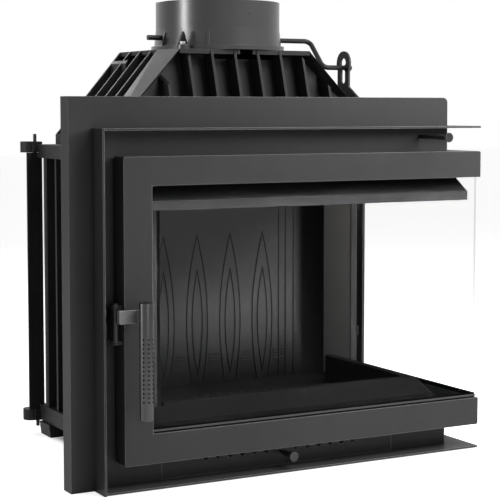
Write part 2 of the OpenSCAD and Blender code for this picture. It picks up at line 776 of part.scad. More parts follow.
module crank_nut() color("#4a4a4c") place() {
    nut_h = 1.5 * shaft_r;
    translate([link_x() + sheet_t + nut_h / 2, flue_y - crank_y, shaft_z - crank_z])
        rotate([0, 90, 0]) difference() {
            cylinder(r = shaft_r * 1.9, h = nut_h, $fn = 6);
            translate([0, 0, -cut]) cylinder(r = shaft_r + fit, h = nut_h + 2 * cut);
        }
}

// Slotted plate that the pull rod carries: the crank's pin rides in its slot. Its arm runs
// forward over the hood's side and down to the rod, and stays clear of the hood when pushed in.
module damper_link() color("#3c3c3e") place() {
    y = flue_y - crank_y;
    z = shaft_z - crank_z;
    slot = shaft_r + slot_slack();
    drop = crank_r - crank_z + shaft_r / 2;
    stem = 0.85 * link_r;
    y1 = rod_end_y();
    z1 = clear_z(link_x());
    translate([link_x(), 0, 0]) rotate([90, 0, 90]) linear_extrude(sheet_t) difference() {
        union() {
            translate([y, z + 0.35 * link_r]) circle(link_r);
            translate([y - stem, z1]) square([2 * stem, z + 0.35 * link_r - z1]);
            polygon([[y - stem, z1 + 2 * link_r], [y - 2.5 * link_r, z1 + link_r],
                [y1 - 1.25 * link_r, z1 + 0.8 * link_r], [y1 - 1.25 * link_r, rod_z - rod_r],
                [y1, rod_z - rod_r], [y1 + link_r / 4, z1], [y + stem, z1]]);
        }
        translate([y - slot, z - drop]) square([2 * slot, drop + 0.4 * link_r]);
        translate([y, z - drop]) circle(slot);
        translate([y, z + 0.4 * link_r]) circle(slot + shaft_r / 2);
    }
}

// Height at which the hood's side has sloped away to the left of x
function clear_z(x) =
    let (foot = hood_plan(0)[1][0], roof = hood_plan(1)[1][0], clear = 8 * seat)
    rim_z + hood_foot + (foot + clear - (x - body_cx)) / (foot - roof) * (hood_h - hood_foot);

// The rod's rear end stays in front of the hood's foot when the knob is pushed in
function rod_end_y() = hood_foot_y() - crank_r * (sin(crank_angle) - sin(crank_angle - damper_turn))
    - 2 * rod_r;

function slot_slack() = crank_r * 0.024 + seat;

module damper_rod() color("#1f1f20") place() {
    y0 = face_y - damper_out + knob_len / 2;
    translate([rod_x, y0, rod_z]) rotate([-90, 0, 0])
        cylinder(r = rod_r, h = rod_end_y() - y0);
}

module damper_knob() color("#1b1b1c") place() {
    translate([rod_x, 0, rod_z]) knob(face_y - damper_out - seat);
}

// Pointed leaf with its widest part at the origin and its tip up
module leaf(half, tip) {
    arc_r = (tip * tip + half * half) / (2 * half);
    intersection() {
        translate([arc_r - half, 0]) circle(arc_r, $fn = 180);
        translate([half - arc_r, 0]) circle(arc_r, $fn = 180);
    }
}

module leaf_line(half, tip, line) {
    difference() {
        leaf(half, tip);
        leaf(half - line, tip - 3 * line);
    }
}

module back_lining() color("#303032") place() {
    wide = lining_x1 - lining_x0;
    pitch = wide * leaf_pitch_share;
    leaf_w = pitch * leaf_width_share;
    cx = body_cx - wide / 150;
    low = lining_z0;
    block([lining_x0, lining_y0, low], [lining_x1, lining_y1, lining_top]);
    for (i = [0:leaf_count - 1])
        translate([cx + (i - (leaf_count - 1) / 2) * pitch, lining_y0 + cut, low + leaf_low])
            rotate([90, 0, 0]) linear_extrude(relief + cut) intersection() {
                union() {
                    leaf_line(leaf_w / 2, leaf_tip, relief);
                    leaf_line(leaf_w / 4, leaf_tip * 0.6, relief * 0.8);
                }
                translate([-leaf_w, -leaf_low + relief]) square([2 * leaf_w, 2 * leaf_tip]);
            }
    line_shares = [2.52, 2.735, 2.99];
    for (side = [-1, 1])
        for (x = line_shares)
            block([cx + side * x * pitch - relief / 2, lining_y0 - relief, low + relief],
                [cx + side * x * pitch + relief / 2, lining_y0 + cut, lining_top - 2 * lining_t]);
    for (i = [0:leaf_count])
        for (k = [0:3])
            block([cx + (i - leaf_count / 2) * pitch - leaf_w * 0.22, lining_y0 - relief * 0.7,
                low + leaf_low * (0.31 + 0.05 * k)],
                [cx + (i - leaf_count / 2) * pitch + leaf_w * 0.22, lining_y0 + cut,
                low + leaf_low * (0.31 + 0.05 * k) + relief]);
    for (x = [lining_x0 + lining_t / 2, lining_x1 - lining_t * 2])
        block([x, lining_y1 - cut, low], [x + lining_t * 1.5, lining_y1 + channel_w - seat, low + lining_t]);
}

module left_lining() color("#303032") place() {
    block([left_in + seat, in_y + frame_t + seat, lining_z0],
        [left_in + seat + side_lining_t, back_in - seat, lining_top]);
}

module right_lining() color("#303032") place() {
    split = jamb_y + 2 * frame_t;
    x0 = jamb_in - seat - plate_t;
    block([x0, jamb_y, lining_z0], [jamb_in - seat, split - seat, lining_top]);
    block([x0, split, lining_z0], [jamb_in - seat, back_in - seat, lining_top]);
}

module floor_plate() color("#2c2c2e") place() {
    gx = grate_x();
    gy = grate_y();
    edge = grate_rim / 2;
    front = in_y + frame_t + seat;
    right = inner_x - sheet_t - 2 * seat - frame_t;
    difference() {
        union() {
            block([left_in + seat, front, floor_z0], [right, back_in - seat, floor_z]);
            block([left_in + seat, jamb_y, floor_z0], [jamb_in - seat, back_in - seat, floor_z]);
        }
        block([gx + edge, gy + edge, floor_z0 - cut],
            [gx + grate_w - edge, gy + grate_d - edge, floor_z + cut]);
        block([gx, gy, floor_z - plate_t / 2], [gx + grate_w, gy + grate_d, floor_z + cut]);
    }
}

function grate_x() = (left_in + inner_x - grate_w) / 2;
function grate_y() = (in_y + frame_t + lining_y0 - grate_d) / 2;

module grate() color("#262627") place() {
    step = (grate_w - 2 * grate_rim) / grate_slots;
    translate([grate_x() + seat, grate_y() + seat, floor_z - plate_t / 2 + seat]) difference() {
        cube([grate_w - 2 * seat, grate_d - 2 * seat, plate_t / 2 - seat]);
        for (i = [0:grate_slots - 1])
            translate([grate_rim + (i + 0.25) * step, grate_rim, -cut])
                cube([step / 2, grate_d - 2 * grate_rim, plate_t]);
    }
}

module ash_pan() color("#555558") place() {
    over = grate_rim / 3;
    wall = sheet_t * 2 / 3;
    translate([grate_x() - over, grate_y() - over, base_top + seat]) difference() {
        cube([grate_w + 2 * over, grate_d + 2 * over, pan_h]);
        translate([wall, wall, wall])
            cube([grate_w + 2 * (over - wall), grate_d + 2 * (over - wall), pan_h]);
    }
}

// Section of the log guard: distance behind the face, height. Its leg stands on the hearth
// floor behind the lower frame, and its lip hangs towards the glass.
function guard_section() =
    let (leg = in_y + frame_t + seat - face_y, lip = -guard_out, low = open_z0)
    [[leg - 2.3 * guard_t, guard_z], [lip + guard_t / 2, low + 2.5 * guard_t], [lip, low],
        [lip + guard_t, low], [lip + 1.5 * guard_t, low + 2 * guard_t], [leg, guard_z - 1.5 * guard_t],
        [leg, floor_z + seat], [leg + guard_t, floor_z + seat], [leg + guard_t, guard_z]];

module log_guard() color("#2e2e30") place() {
    x0 = bar_left + sheet_t * 2 / 3;
    x1 = inner_x + face_y;
    deep = face_y + 5 * frame_t;
    intersection() {
        translate([x0, face_y, 0]) rotate([90, 0, 90]) linear_extrude(x1 - x0)
            polygon(guard_section());
        linear_extrude(guard_z + cut)
            polygon([[0, 0], [x1, 0], [x1 - deep, deep], [lining_x0, deep],
                [lining_x0, in_y - seat], [0, in_y - seat]]);
    }
    intersection() {
        translate([inner_x, jamb_y - seat, 0]) rotate([90, 0, 0]) linear_extrude(jamb_y - seat)
            polygon([for (p = guard_section()) [-p[0], p[1]]]);
        linear_extrude(guard_z + cut)
            polygon([[x1, 0], [x1, jamb_y], [x1 - deep, jamb_y], [x1 - deep, deep]]);
    }
}

module air_deflector() color("#323234") place() {
    t = sheet_t * 2 / 3;
    x0 = bar_left + 2 * t;
    x1 = door_w - door_d / 2;
    lip_y = face_y - lip_out;
    low = open_z1 - lip_drop;
    y1 = in_y + t / 2;
    top = win_z1 - frame_t / 3 - seat;
    difference() {
        translate([x0, 0, 0]) rotate([90, 0, 90]) linear_extrude(x1 - x0)
            polygon([[lip_y, low], [lip_y + t, low], [lip_y + t, low + frame_t],
                [y1 + t, open_z1 - 2 * t], [y1 + t, top], [y1, top], [y1, open_z1 - 1.5 * t],
                [lip_y, low + frame_t + t / 2]]);
        block([0, in_y - seat, low], [left_in + seat, in_y + frame_t, win_z1]);
    }
}

module lower_baffle() color("#b9ab8e") place() {
    block([left_in + side_lining_t / 3, in_y + body_d * 0.24, lining_top + seat],
        [jamb_in - plate_t / 4, back_in - plate_t / 4, lining_top + seat + plate_t * 1.5]);
}

module upper_baffle() color("#6b6b6d") place() {
    block([left_in + frame_t / 6, in_y + frame_t * 4 / 3, upper_z()],
        [in_x - frame_t * 7 / 6, in_y + body_d * 0.6, upper_z() + sheet_t]);
}

module door_gasket() color("#17171a") place() {
    inset = 2 * seat;
    w = 1.5 * (face_gap - door_d);
    z0 = door_z + inset;
    z1 = door_top - inset;
    difference() {
        block([inset, door_d + seat, z0], [door_w - door_d, face_y - seat, z1]);
        block([inset + w, 0, z0 + w], [door_w, face_y, z1 - w]);
    }
    difference() {
        block([side_x + seat, door_d + seat, z0], [door_w - door_d - seat, door_side - inset, z1]);
        block([side_x, 0, z0 + w], [door_w, door_side - inset - w, z1 - w]);
    }
}

module at_hinges() {
    for (z = [door_z + hinge_end, door_top - hinge_end])
        translate([axis_x, axis_y, z]) children();
}

module hinge_brackets() color("#3c3c3e") place() {
    reach = axis_x - side_x;
    plate = hinge_plate();
    at_hinges() {
        block([-reach + seat, -barrel_r, -barrel_h / 2 - seat - plate],
            [-reach + seat + sheet_t, 2.3 * barrel_r, barrel_h / 2 + seat + plate]);
        for (z = [-barrel_h / 2 - seat - plate, barrel_h / 2 + seat])
            translate([0, 0, z]) difference() {
                union() {
                    cylinder(r = barrel_r, h = plate);
                    block([-reach + seat, -barrel_r, 0], [0, barrel_r, plate]);
                }
                translate([0, 0, -cut]) cylinder(r = pin_r + fit, h = plate + 2 * cut);
            }
    }
}

function hinge_plate() = barrel_r * 5 / 6;

module hinge_pins() color("#8f8f92") place() {
    half = barrel_h / 2 + seat + hinge_plate();
    at_hinges() {
        translate([0, 0, -half - pin_r / 2]) cylinder(r = pin_r, h = 2 * half + pin_r / 2);
        translate([0, 0, half + seat]) cylinder(r = pin_r * 1.6, h = pin_r * 0.8);
        translate([0, 0, half - cut]) cylinder(r = pin_r, h = cut + 2 * seat);
    }
}

module latch_keeper() color("#4a4a4c") place() {
    back = face_y - seat;
    left = hook_x - 3 * pin_r;
    difference() {
        block([left, back - keeper_t, hook_z0 - pin_r], [hook_x + 2.5 * keeper_t, back, keeper_z()[1] + 4 * keeper_t]);
        for (z = keeper_z())
            translate([hook_x + keeper_t, back - keeper_t - cut, z]) rotate([-90, 0, 0])
                cylinder(r = keeper_t + fit, h = keeper_t + 2 * cut);
    }
    block([left, back - 3 * pin_r, hook_z0 + pin_r], [left + pin_r, back - keeper_t / 2, hook_z0 + hook_h - pin_r]);
}

function keeper_z() = [hook_z0 + pin_r, hook_z0 + hook_h + 4 * pin_r];

module keeper_bolts() color("#77777a") place() {
    for (z = keeper_z())
        translate([hook_x + keeper_t, face_y - seat * 2 - keeper_t, z]) rotate([90, 0, 0]) {
            cylinder(r1 = 2 * keeper_t, r2 = 1.5 * keeper_t, h = 1.25 * keeper_t);
            translate([0, 0, -keeper_t]) cylinder(r = keeper_t, h = 1.5 * keeper_t);
        }
}

module door_frame() color("#3d3d40") place() {
    difference() {
        union() {
            difference() {
                intersection() {
                    union() {
                        block([0, 0, door_z], [door_w, door_d, door_top]);
                        block([door_w - door_d, 0, door_z], [door_w, door_side, door_top]);
                    }
                    translate([0, door_side + cut, 0]) rotate([90, 0, 0])
                        linear_extrude(door_side + 2 * cut) door_outline();
                }
                block([door_edge, skin_t, door_z + door_edge],
                    [door_w - skin_t, door_d + cut, door_top - door_edge]);
                block([door_w - door_d - cut, skin_t, door_z + door_edge],
                    [door_w - skin_t, door_side - door_edge, door_top - door_edge]);
            }
            at_clips() clip_boss();
        }
        block([bar_left, -cut, open_z0], [door_w + cut, door_d + cut, open_z1]);
        block([door_w - door_d - cut, -cut, open_z0], [door_w + cut, open_back, open_z1]);
        at_clips() translate([0, 0, -clip_r / 2]) cylinder(r = clip_r + fit, h = 10 * clip_r);
    }
    difference() {
        at_hinges() {
            translate([0, 0, -barrel_h / 2]) cylinder(r = barrel_r, h = barrel_h);
            block([-barrel_r, -hinge_back - cut, -barrel_h / 2], [barrel_r, 0, barrel_h / 2]);
        }
        at_hinges() translate([0, 0, -barrel_h / 2 - cut])
            cylinder(r = pin_r + fit, h = barrel_h + 2 * cut);
    }
    difference() {
        for (z = ear_z())
            translate([0, 0, z]) {
                translate([hook_x, latch_y, 0]) cylinder(r = pin_r * 2, h = arm_t);
                block([hook_x, latch_y - pin_r * 2, 0], [cut, latch_y + pin_r * 2, arm_t]);
            }
        translate([hook_x, latch_y, ear_z()[0] - cut])
            cylinder(r = pin_r + fit, h = ear_z()[1] - ear_z()[0] + arm_t + 2 * cut);
    }
}

module door_outline() {
    translate([0, door_z + door_r]) square([door_w, door_h - 2 * door_r]);
    translate([door_r, door_z]) square([door_w - 2 * door_r, door_h]);
    for (x = [door_r, door_w - door_r])
        for (z = [door_z + door_r, door_top - door_r])
            translate([x, z]) circle(door_r);
}

function ear_z() = [hook_z0 - seat - arm_t, arm_z1 + seat];

// Places each child on the inside of the door skin, with +Z pointing into the stove
module at_clips() {
    zs = [open_z0 - glass_lap - 3 * clip_r, open_z1 + glass_lap + 3 * clip_r];
    edge_z = [open_z0 + 1.5 * bar_bottom, open_z1 - 1.5 * bar_top];
    for (z = zs)
        for (x = [2 * bar_left, door_w / 2, door_w - door_d - bar_left])
            translate([x, skin_t, z]) rotate([-90, z == zs[0] ? 180 : 0, 0]) children();
    for (z = edge_z)
        translate([bar_left - glass_lap - 3 * clip_r, skin_t, z]) rotate([-90, 90, 0]) children();
    for (z = zs)
        for (y = [2.2 * door_d, open_back - 2 * door_d])
            translate([door_w - skin_t, y, z]) rotate([0, -90, 0]) rotate([0, 0, z == zs[0] ? 90 : -90])
                children();
    for (z = edge_z)
        translate([door_w - skin_t, open_back + glass_lap + 3 * clip_r, z]) rotate([0, -90, 0])
            rotate([0, 0, 180]) children();
}

module clip_boss() {
    translate([0, 0, -cut]) cylinder(r = 2 * clip_r, h = glass_t + 2 * seat + cut);
}

module glass_clips() color("#6e6e70") place() {
    at_clips() translate([0, 0, glass_t + 3 * seat]) difference() {
        block([-4 * clip_r, -2.5 * clip_r, 0], [4 * clip_r, 7.5 * clip_r, clip_r]);
        translate([0, 0, -cut]) cylinder(r = clip_r + fit, h = clip_r + 2 * cut);
    }
}

module clip_screws() color("#9a9a9c") place() {
    at_clips() {
        translate([0, 0, glass_t + 4 * seat + clip_r]) cylinder(r = 2 * clip_r, h = clip_r * 1.2);
        translate([0, 0, -clip_r / 4]) cylinder(r = clip_r, h = glass_t + 4 * seat + clip_r * 1.5);
    }
}

module front_glass() color("#c8d2d6", 0.25) place() {
    block([bar_left - glass_lap, skin_t + seat, open_z0 - glass_lap],
        [door_w - skin_t - seat, skin_t + seat + glass_t, open_z1 + glass_lap]);
}

module side_glass() color("#c8d2d6", 0.25) place() {
    block([door_w - skin_t - seat - glass_t, skin_t + 2 * seat + glass_t, open_z0 - glass_lap],
        [door_w - skin_t - seat, open_back + glass_lap, open_z1 + glass_lap]);
}

// Flat arm across the front of the door, with a folded end on the left and a web to the grip
module handle_arm() color("#8a8b8d") place() {
    x0 = hook_x - 2 * pin_r;
    y0 = -3.5 * arm_t;
    translate([0, 0, arm_z0]) linear_extrude(arm_h) difference() {
        union() {
            translate([x0, y0]) square([arm_t, 2.25 * arm_t]);
            translate([x0, y0]) square([grip_x - x0, arm_t]);
            translate([grip_x - arm_t, -grip_out + grip_r / 2]) square([arm_t, grip_out - grip_r / 2 + y0 + arm_t]);
        }
        translate([grip_x, -grip_out]) circle(grip_r);
    }
}

module handle_grip() color("#4e4f51") place() {
    edge = grip_r / 10;
    translate([grip_x, -grip_out, door_z + grip_z]) rotate_extrude()
        polygon([[0, 0], [grip_r - edge, 0], [grip_r, edge], [grip_r, grip_len - edge],
            [grip_r - edge, grip_len], [0, grip_len]]);
}

// Pivot block of the handle: its web carries the arm, and its finger stands beside the keeper
module latch_hook() color("#5a5a5c") place() {
    reach = face_y - seat * 7 - 2.25 * keeper_t - latch_y;
    web_x = hook_x - 2 * pin_r + arm_t + seat;
    translate([hook_x, latch_y, hook_z0]) linear_extrude(hook_h) difference() {
        union() {
            circle(pin_r * 2);
            translate([-pin_r * 2 + seat * 2, 0]) square([pin_r * 1.2, reach]);
        }
        circle(pin_r + fit);
    }
    translate([0, 0, hook_z0 + hook_h - cut]) linear_extrude(arm_z1 - hook_z0 - hook_h + cut)
        difference() {
            union() {
                translate([hook_x, latch_y]) circle(pin_r * 2);
                translate([web_x, -2.5 * arm_t + seat]) square([arm_t, latch_y + 2.5 * arm_t - seat]);
            }
            translate([hook_x, latch_y]) circle(pin_r + fit);
        }
}

module latch_pin() color("#8f8f92") place() {
    z0 = ear_z()[0] - pin_r / 2;
    z1 = ear_z()[1] + arm_t + seat;
    translate([hook_x, latch_y, z0]) cylinder(r = pin_r, h = z1 + pin_r / 2 - z0);
    translate([hook_x, latch_y, z1]) cylinder(r = pin_r * 1.6, h = pin_r * 0.8);
}

front_panel();
side_panel();
left_cheek();
rear_cheek();
top_ledge();
bottom_ledge();
air_cover();
base_casting();
feet();
left_wall();
back_wall();
right_wall();
lower_frame();
upper_frame();
hood();
tie_rods();
flue_collar();
collar_bolts();
damper_plate();
damper_shaft();
crank_nut();
damper_link();
damper_rod();
damper_knob();
air_shutter();
air_rod();
air_knob();
back_lining();
left_lining();
right_lining();
floor_plate();
grate();
ash_pan();
log_guard();
air_deflector();
lower_baffle();
upper_baffle();
door_gasket();
hinge_brackets();
hinge_pins();
latch_keeper();
keeper_bolts();
door_frame();
front_glass();
side_glass();
glass_clips();
clip_screws();
handle_arm();
handle_grip();
latch_hook();
latch_pin();
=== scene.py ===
# %% [markdown]
# # A corner fireplace insert
# The insert is a cast and sheet-steel firebox with a glass door that bends round its right
# corner. The solids come from the construction model. This lesson gives them paint, iron,
# glass and light, and adds the small shapes that a construction model leaves plain.

# %% Load the solids
import json
import math
import bpy
import numpy as np
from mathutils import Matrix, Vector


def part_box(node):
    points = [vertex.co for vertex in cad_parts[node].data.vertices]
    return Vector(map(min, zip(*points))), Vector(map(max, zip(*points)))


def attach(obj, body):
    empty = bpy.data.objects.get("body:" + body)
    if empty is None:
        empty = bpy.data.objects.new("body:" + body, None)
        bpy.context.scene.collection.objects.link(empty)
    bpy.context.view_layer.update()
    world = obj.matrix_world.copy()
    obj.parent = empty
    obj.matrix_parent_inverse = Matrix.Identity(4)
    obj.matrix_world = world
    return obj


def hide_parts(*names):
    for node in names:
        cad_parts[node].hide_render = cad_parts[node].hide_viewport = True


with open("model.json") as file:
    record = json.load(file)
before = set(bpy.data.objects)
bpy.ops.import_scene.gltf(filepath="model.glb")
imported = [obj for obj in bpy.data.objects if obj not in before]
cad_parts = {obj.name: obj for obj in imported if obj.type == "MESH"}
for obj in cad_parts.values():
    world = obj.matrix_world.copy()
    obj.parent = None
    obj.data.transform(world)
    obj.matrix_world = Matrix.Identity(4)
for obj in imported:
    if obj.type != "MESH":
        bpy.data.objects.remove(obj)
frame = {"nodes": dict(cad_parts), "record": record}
NODES = frame["nodes"]
SLOT_OF = {s["node"]: s["material_slot"] for s in frame["record"]["subparts"]}
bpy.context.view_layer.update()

# %% [markdown]
# The drawing measures from the lower left corner of the door front, in millimetres. The
# solids stand with the origin under the middle of the whole insert. One small function
# turns the first kind of point into the second, so a size read off the drawing can be used.

# %% From drawing millimetres to metres
DOOR_TO_ORIGIN = np.array([264.75, 207.5, 0.0])


def place(points_mm):
    """Metres in the solids' frame = (millimetres from the door corner - offset) / 1000."""
    return (np.asarray(points_mm, float) - DOOR_TO_ORIGIN) / 1000.0


print("the drawing's zero sits at", place([0, 0, 0]).round(4).tolist())

# %% [markdown]
# Stove paint on cast iron is never one even black. It has a fine sand-cast grain, slow
# clouds of lighter and darker pigment, and a paler line where hands and cloths rub the
# edges, a line that here also paints the highlight light draws along them. Each of these
# effects is used by several finishes, so each is a node group that gives out only a mask or
# a height, and the finish decides what to do with it.

# %% Helpers for node groups
def new_group(name, inputs, outputs):
    """An empty shader group with float inputs (name, value), a Vector and float outputs."""
    group = bpy.data.node_groups.new(name, "ShaderNodeTree")
    group.interface.new_socket("Vector", in_out="INPUT", socket_type="NodeSocketVector")
    for label, value in inputs:
        socket = group.interface.new_socket(label, in_out="INPUT", socket_type="NodeSocketFloat")
        socket.default_value = value
    for label in outputs:
        group.interface.new_socket(label, in_out="OUTPUT", socket_type="NodeSocketFloat")
    return group, group.nodes.new("NodeGroupInput"), group.nodes.new("NodeGroupOutput")


def math_node(tree, operation, first, second=None, clamp=False):
    """first (operation) second, where each is a socket or a number."""
    node = tree.nodes.new("ShaderNodeMath")
    node.operation = operation
    node.use_clamp = clamp
    for index, value in enumerate((first, second)):
        if value is None:
            continue
        if isinstance(value, (int, float)):
            node.inputs[index].default_value = value
        else:
            tree.links.new(value, node.inputs[index])
    return node.outputs[0]


def noise_node(tree, vector, scale, detail=3.0, roughness=0.5):
    """Cloud noise in 0..1 around one half."""
    node = tree.nodes.new("ShaderNodeTexNoise")
    node.inputs["Scale"].default_value = scale
    node.inputs["Detail"].default_value = detail
    node.inputs["Roughness"].default_value = roughness
    tree.links.new(vector, node.inputs["Vector"])
    return node.outputs["Fac"]


print("helpers:", [f.__name__ for f in (new_group, math_node, noise_node)])

# %% [markdown]
# Iron poured into sand keeps the print of the sand: grains of about a millimetre, with
# shallow dents between them. Modelling them would take millions of faces, so two sizes of
# cloud noise make a height, and the finish lets it tilt the light.

# %% Sand-cast grain
def make_grain_group(fine_scale=900.0, coarse_scale=120.0):
    """Height = fine grain * Grain + coarse dents * Dents, both cloud noise about zero."""
    group, inside, outside = new_group("cast_grain", [("Grain", 1.0), ("Dents", 0.5)], ["Height"])
    where = inside.outputs["Vector"]
    fine = math_node(group, "SUBTRACT", noise_node(group, where, fine_scale, 2.0), 0.5)
    coarse = math_node(group, "SUBTRACT", noise_node(group, where, coarse_scale, 3.0), 0.5)
    total = math_node(group, "ADD",
        math_node(group, "MULTIPLY", fine, inside.outputs["Grain"]),
        math_node(group, "MULTIPLY", coarse, inside.outputs["Dents"]))
    group.links.new(total, outside.inputs["Height"])
    return group


GRAIN = make_grain_group()
print("group:", GRAIN.name)

# %% [markdown]
# Sprayed paint dries in clouds a hand wide, with smaller patches in them. A painted picture
# would show its pixels close up, and noise has detail at every distance. It seldom leaves
# the middle of its range, so the mask is stretched to use the whole of 0..1.

# %% Clouds of lighter and darker paint
def make_cloud_group(broad_scale=9.0, fine_scale=70.0, lowest=0.32, highest=0.68):
    """Mask = broad clouds plus finer patches, stretched from lowest..highest to 0..1."""
    group, inside, outside = new_group("paint_clouds", [("Broad", 0.7), ("Fine", 0.3)], ["Mask"])
    broad = noise_node(group, inside.outputs["Vector"], broad_scale, 4.0, 0.55)
    fine = noise_node(group, inside.outputs["Vector"], fine_scale, 4.0, 0.6)
    total = math_node(group, "ADD",
        math_node(group, "MULTIPLY", broad, inside.outputs["Broad"]),
        math_node(group, "MULTIPLY", fine, inside.outputs["Fine"]))
    spread = group.nodes.new("ShaderNodeMapRange")
    spread.inputs["From Min"].default_value = lowest
    spread.inputs["From Max"].default_value = highest
    group.links.new(total, spread.inputs["Value"])
    group.links.new(spread.outputs["Result"], outside.inputs["Mask"])
    return group


CLOUDS = make_cloud_group()
print("group:", CLOUDS.name)

# %% [markdown]
# Paint wears thin on every edge that a cloth passes, and light draws a bright line along
# edges too; this one mask carries both, as wear and as painted highlight, and on the back
# lining a painted shade along the relief. The edges need not be marked by hand: a Bevel node
# bends the normal only close to an edge, so the angle between that normal and the flat one
# finds them all. Some noise keeps the line from being even.

# %% Rubbed edges and painted edge light
BEVEL_SAMPLES = 6


def make_edge_group(radius=0.0012, gain=5.0, patch_scale=60.0, least=0.4):
    """Mask = (1 - rounded normal . flat normal) * (noise + least) * Strength * gain, up to 1."""
    group, inside, outside = new_group("edge_wear_and_painted_light", [("Strength", 1.0)], ["Mask"])
    rounded = group.nodes.new("ShaderNodeBevel")
    rounded.samples = BEVEL_SAMPLES
    rounded.inputs["Radius"].default_value = radius
    flat = group.nodes.new("ShaderNodeNewGeometry")
    dot = group.nodes.new("ShaderNodeVectorMath")
    dot.operation = "DOT_PRODUCT"
    group.links.new(rounded.outputs["Normal"], dot.inputs[0])
    group.links.new(flat.outputs["Normal"], dot.inputs[1])
    away = math_node(group, "SUBTRACT", 1.0, dot.outputs["Value"])
    noise = noise_node(group, inside.outputs["Vector"], patch_scale)
    patchy = math_node(group, "ADD", noise, least)
    amount = math_node(group, "MULTIPLY", math_node(group, "MULTIPLY", away, patchy),
        math_node(group, "MULTIPLY", inside.outputs["Strength"], gain), clamp=True)
    group.links.new(amount, outside.inputs["Mask"])
    return group


EDGES = make_edge_group()
print("group:", EDGES.name)

# %% [markdown]
# Inside the firebox shade is painted into the colour where light falls least: low down and
# at the right end of the back lining, on the front edge of the side lining and on the top
# of the air deflector. This painted shade follows the room and not the shape, so it is three
# soft ramps along the axes, and each finish says where they run. Metres away, where they
# start by default, they darken nothing.

# %% Painted shade
def make_painted_shade_group():
    """Mask = the highest of three smooth ramps, one along each axis.

    It is 1 below Low, right of Far and before Front, and falls to 0 at High, Near and
    Behind. A ramp whose two ends are swapped runs the other way.
    """
    group, inside, outside = new_group("painted_shade",
        [("Low", -9.0), ("High", -8.0), ("Near", 8.0), ("Far", 9.0), ("Front", -9.0),
         ("Behind", -8.0)], ["Mask"])
    split = group.nodes.new("ShaderNodeSeparateXYZ")
    group.links.new(inside.outputs["Vector"], split.inputs["Vector"])
    ramps = []
    for axis, start, end, values in (("Z", "Low", "High", (1.0, 0.0)),
            ("X", "Near", "Far", (0.0, 1.0)), ("Y", "Front", "Behind", (1.0, 0.0))):
        ramp = group.nodes.new("ShaderNodeMapRange")
        ramp.interpolation_type = "SMOOTHSTEP"
        group.links.new(split.outputs[axis], ramp.inputs["Value"])
        group.links.new(inside.outputs[start], ramp.inputs["From Min"])
        group.links.new(inside.outputs[end], ramp.inputs["From Max"])
        ramp.inputs["To Min"].default_value, ramp.inputs["To Max"].default_value = values
        ramps.append(ramp.outputs["Result"])
    highest = math_node(group, "MAXIMUM", math_node(group, "MAXIMUM", *ramps[:2]), ramps[2])
    group.links.new(highest, outside.inputs["Mask"])
    return group


PAINTED_SHADE = make_painted_shade_group()
print("group:", PAINTED_SHADE.name)

# %% [markdown]
# Every metal finish here is the same recipe with other numbers: a dark and a light pigment
# mixed by the clouds, an edge colour laid over it by the edge mask, as rubbed wear and as
# painted highlight or shade, painted shade over that where a finish asks for it, a roughness
# that follows the clouds, and the grain as a bump under a slightly rounded normal. The rope
# seal and the fire board are matt and coarse, and the same recipe serves them.

# %% One recipe for all finishes but the glass
def colour_mix(tree, factor, first, second):
    """first where factor is 0 and second where it is 1; a colour is a socket or three numbers."""
    mix = tree.nodes.new("ShaderNodeMix")
    mix.data_type = "RGBA"
    for label, colour in (("A", first), ("B", second)):
        if isinstance(colour, tuple):
            mix.inputs[label].default_value = (*colour, 1.0)
        else:
            tree.links.new(colour, mix.inputs[label])
    tree.links.new(factor, mix.inputs["Factor"])
    return mix.outputs["Result"]


def metal_finish(name, dark, light, edge, rough, metallic=0.0, grain=0.4, dents=0.5,
        edge_wear_and_light=1.0, bump=0.0004, rounding=0.0008, specular=0.5, painted_shade=None, painted_shade_at=None):
    """Paint or bare metal; colours are linear, rough is (smooth places, rough places)."""
    made = bpy.data.materials.new(name)
    made.use_nodes = True
    tree = made.node_tree
    skin = tree.nodes["Principled BSDF"]
    skin.inputs["Metallic"].default_value = metallic
    skin.inputs["Specular IOR Level"].default_value = specular
    where = tree.nodes.new("ShaderNodeTexCoord").outputs["Object"]

    def placed(group, **values):
        node = tree.nodes.new("ShaderNodeGroup")
        node.node_tree = group
        tree.links.new(where, node.inputs["Vector"])
        for label, value in values.items():
            node.inputs[label].default_value = value
        return node.outputs[0]

    clouds = placed(CLOUDS)
    colour = colour_mix(tree, clouds, dark, light)
    # The edge colour is partly rubbed wear and partly painted highlight; on the back lining it is
    # painted shade.
    colour = colour_mix(tree, placed(EDGES, Strength=edge_wear_and_light), colour, edge)
    # Painted shade: the colour darkens towards the shade colour where the ramps say light falls
    # least.
    if painted_shade:
        colour = colour_mix(tree, placed(PAINTED_SHADE, **painted_shade_at), colour, painted_shade)
    tree.links.new(colour, skin.inputs["Base Color"])
    shine = tree.nodes.new("ShaderNodeMapRange")
    shine.inputs["To Min"].default_value, shine.inputs["To Max"].default_value = rough
    tree.links.new(clouds, shine.inputs["Value"])
    tree.links.new(shine.outputs["Result"], skin.inputs["Roughness"])
    rounded = tree.nodes.new("ShaderNodeBevel")
    rounded.samples = BEVEL_SAMPLES
    rounded.inputs["Radius"].default_value = rounding
    relief = tree.nodes.new("ShaderNodeBump")
    relief.inputs["Distance"].default_value = bump
    tree.links.new(placed(GRAIN, Grain=grain, Dents=dents), relief.inputs["Height"])
    tree.links.new(rounded.outputs["Normal"], relief.inputs["Normal"])
    tree.links.new(relief.outputs["Normal"], skin.inputs["Normal"])
    return made


print("recipe:", metal_finish.__name__)
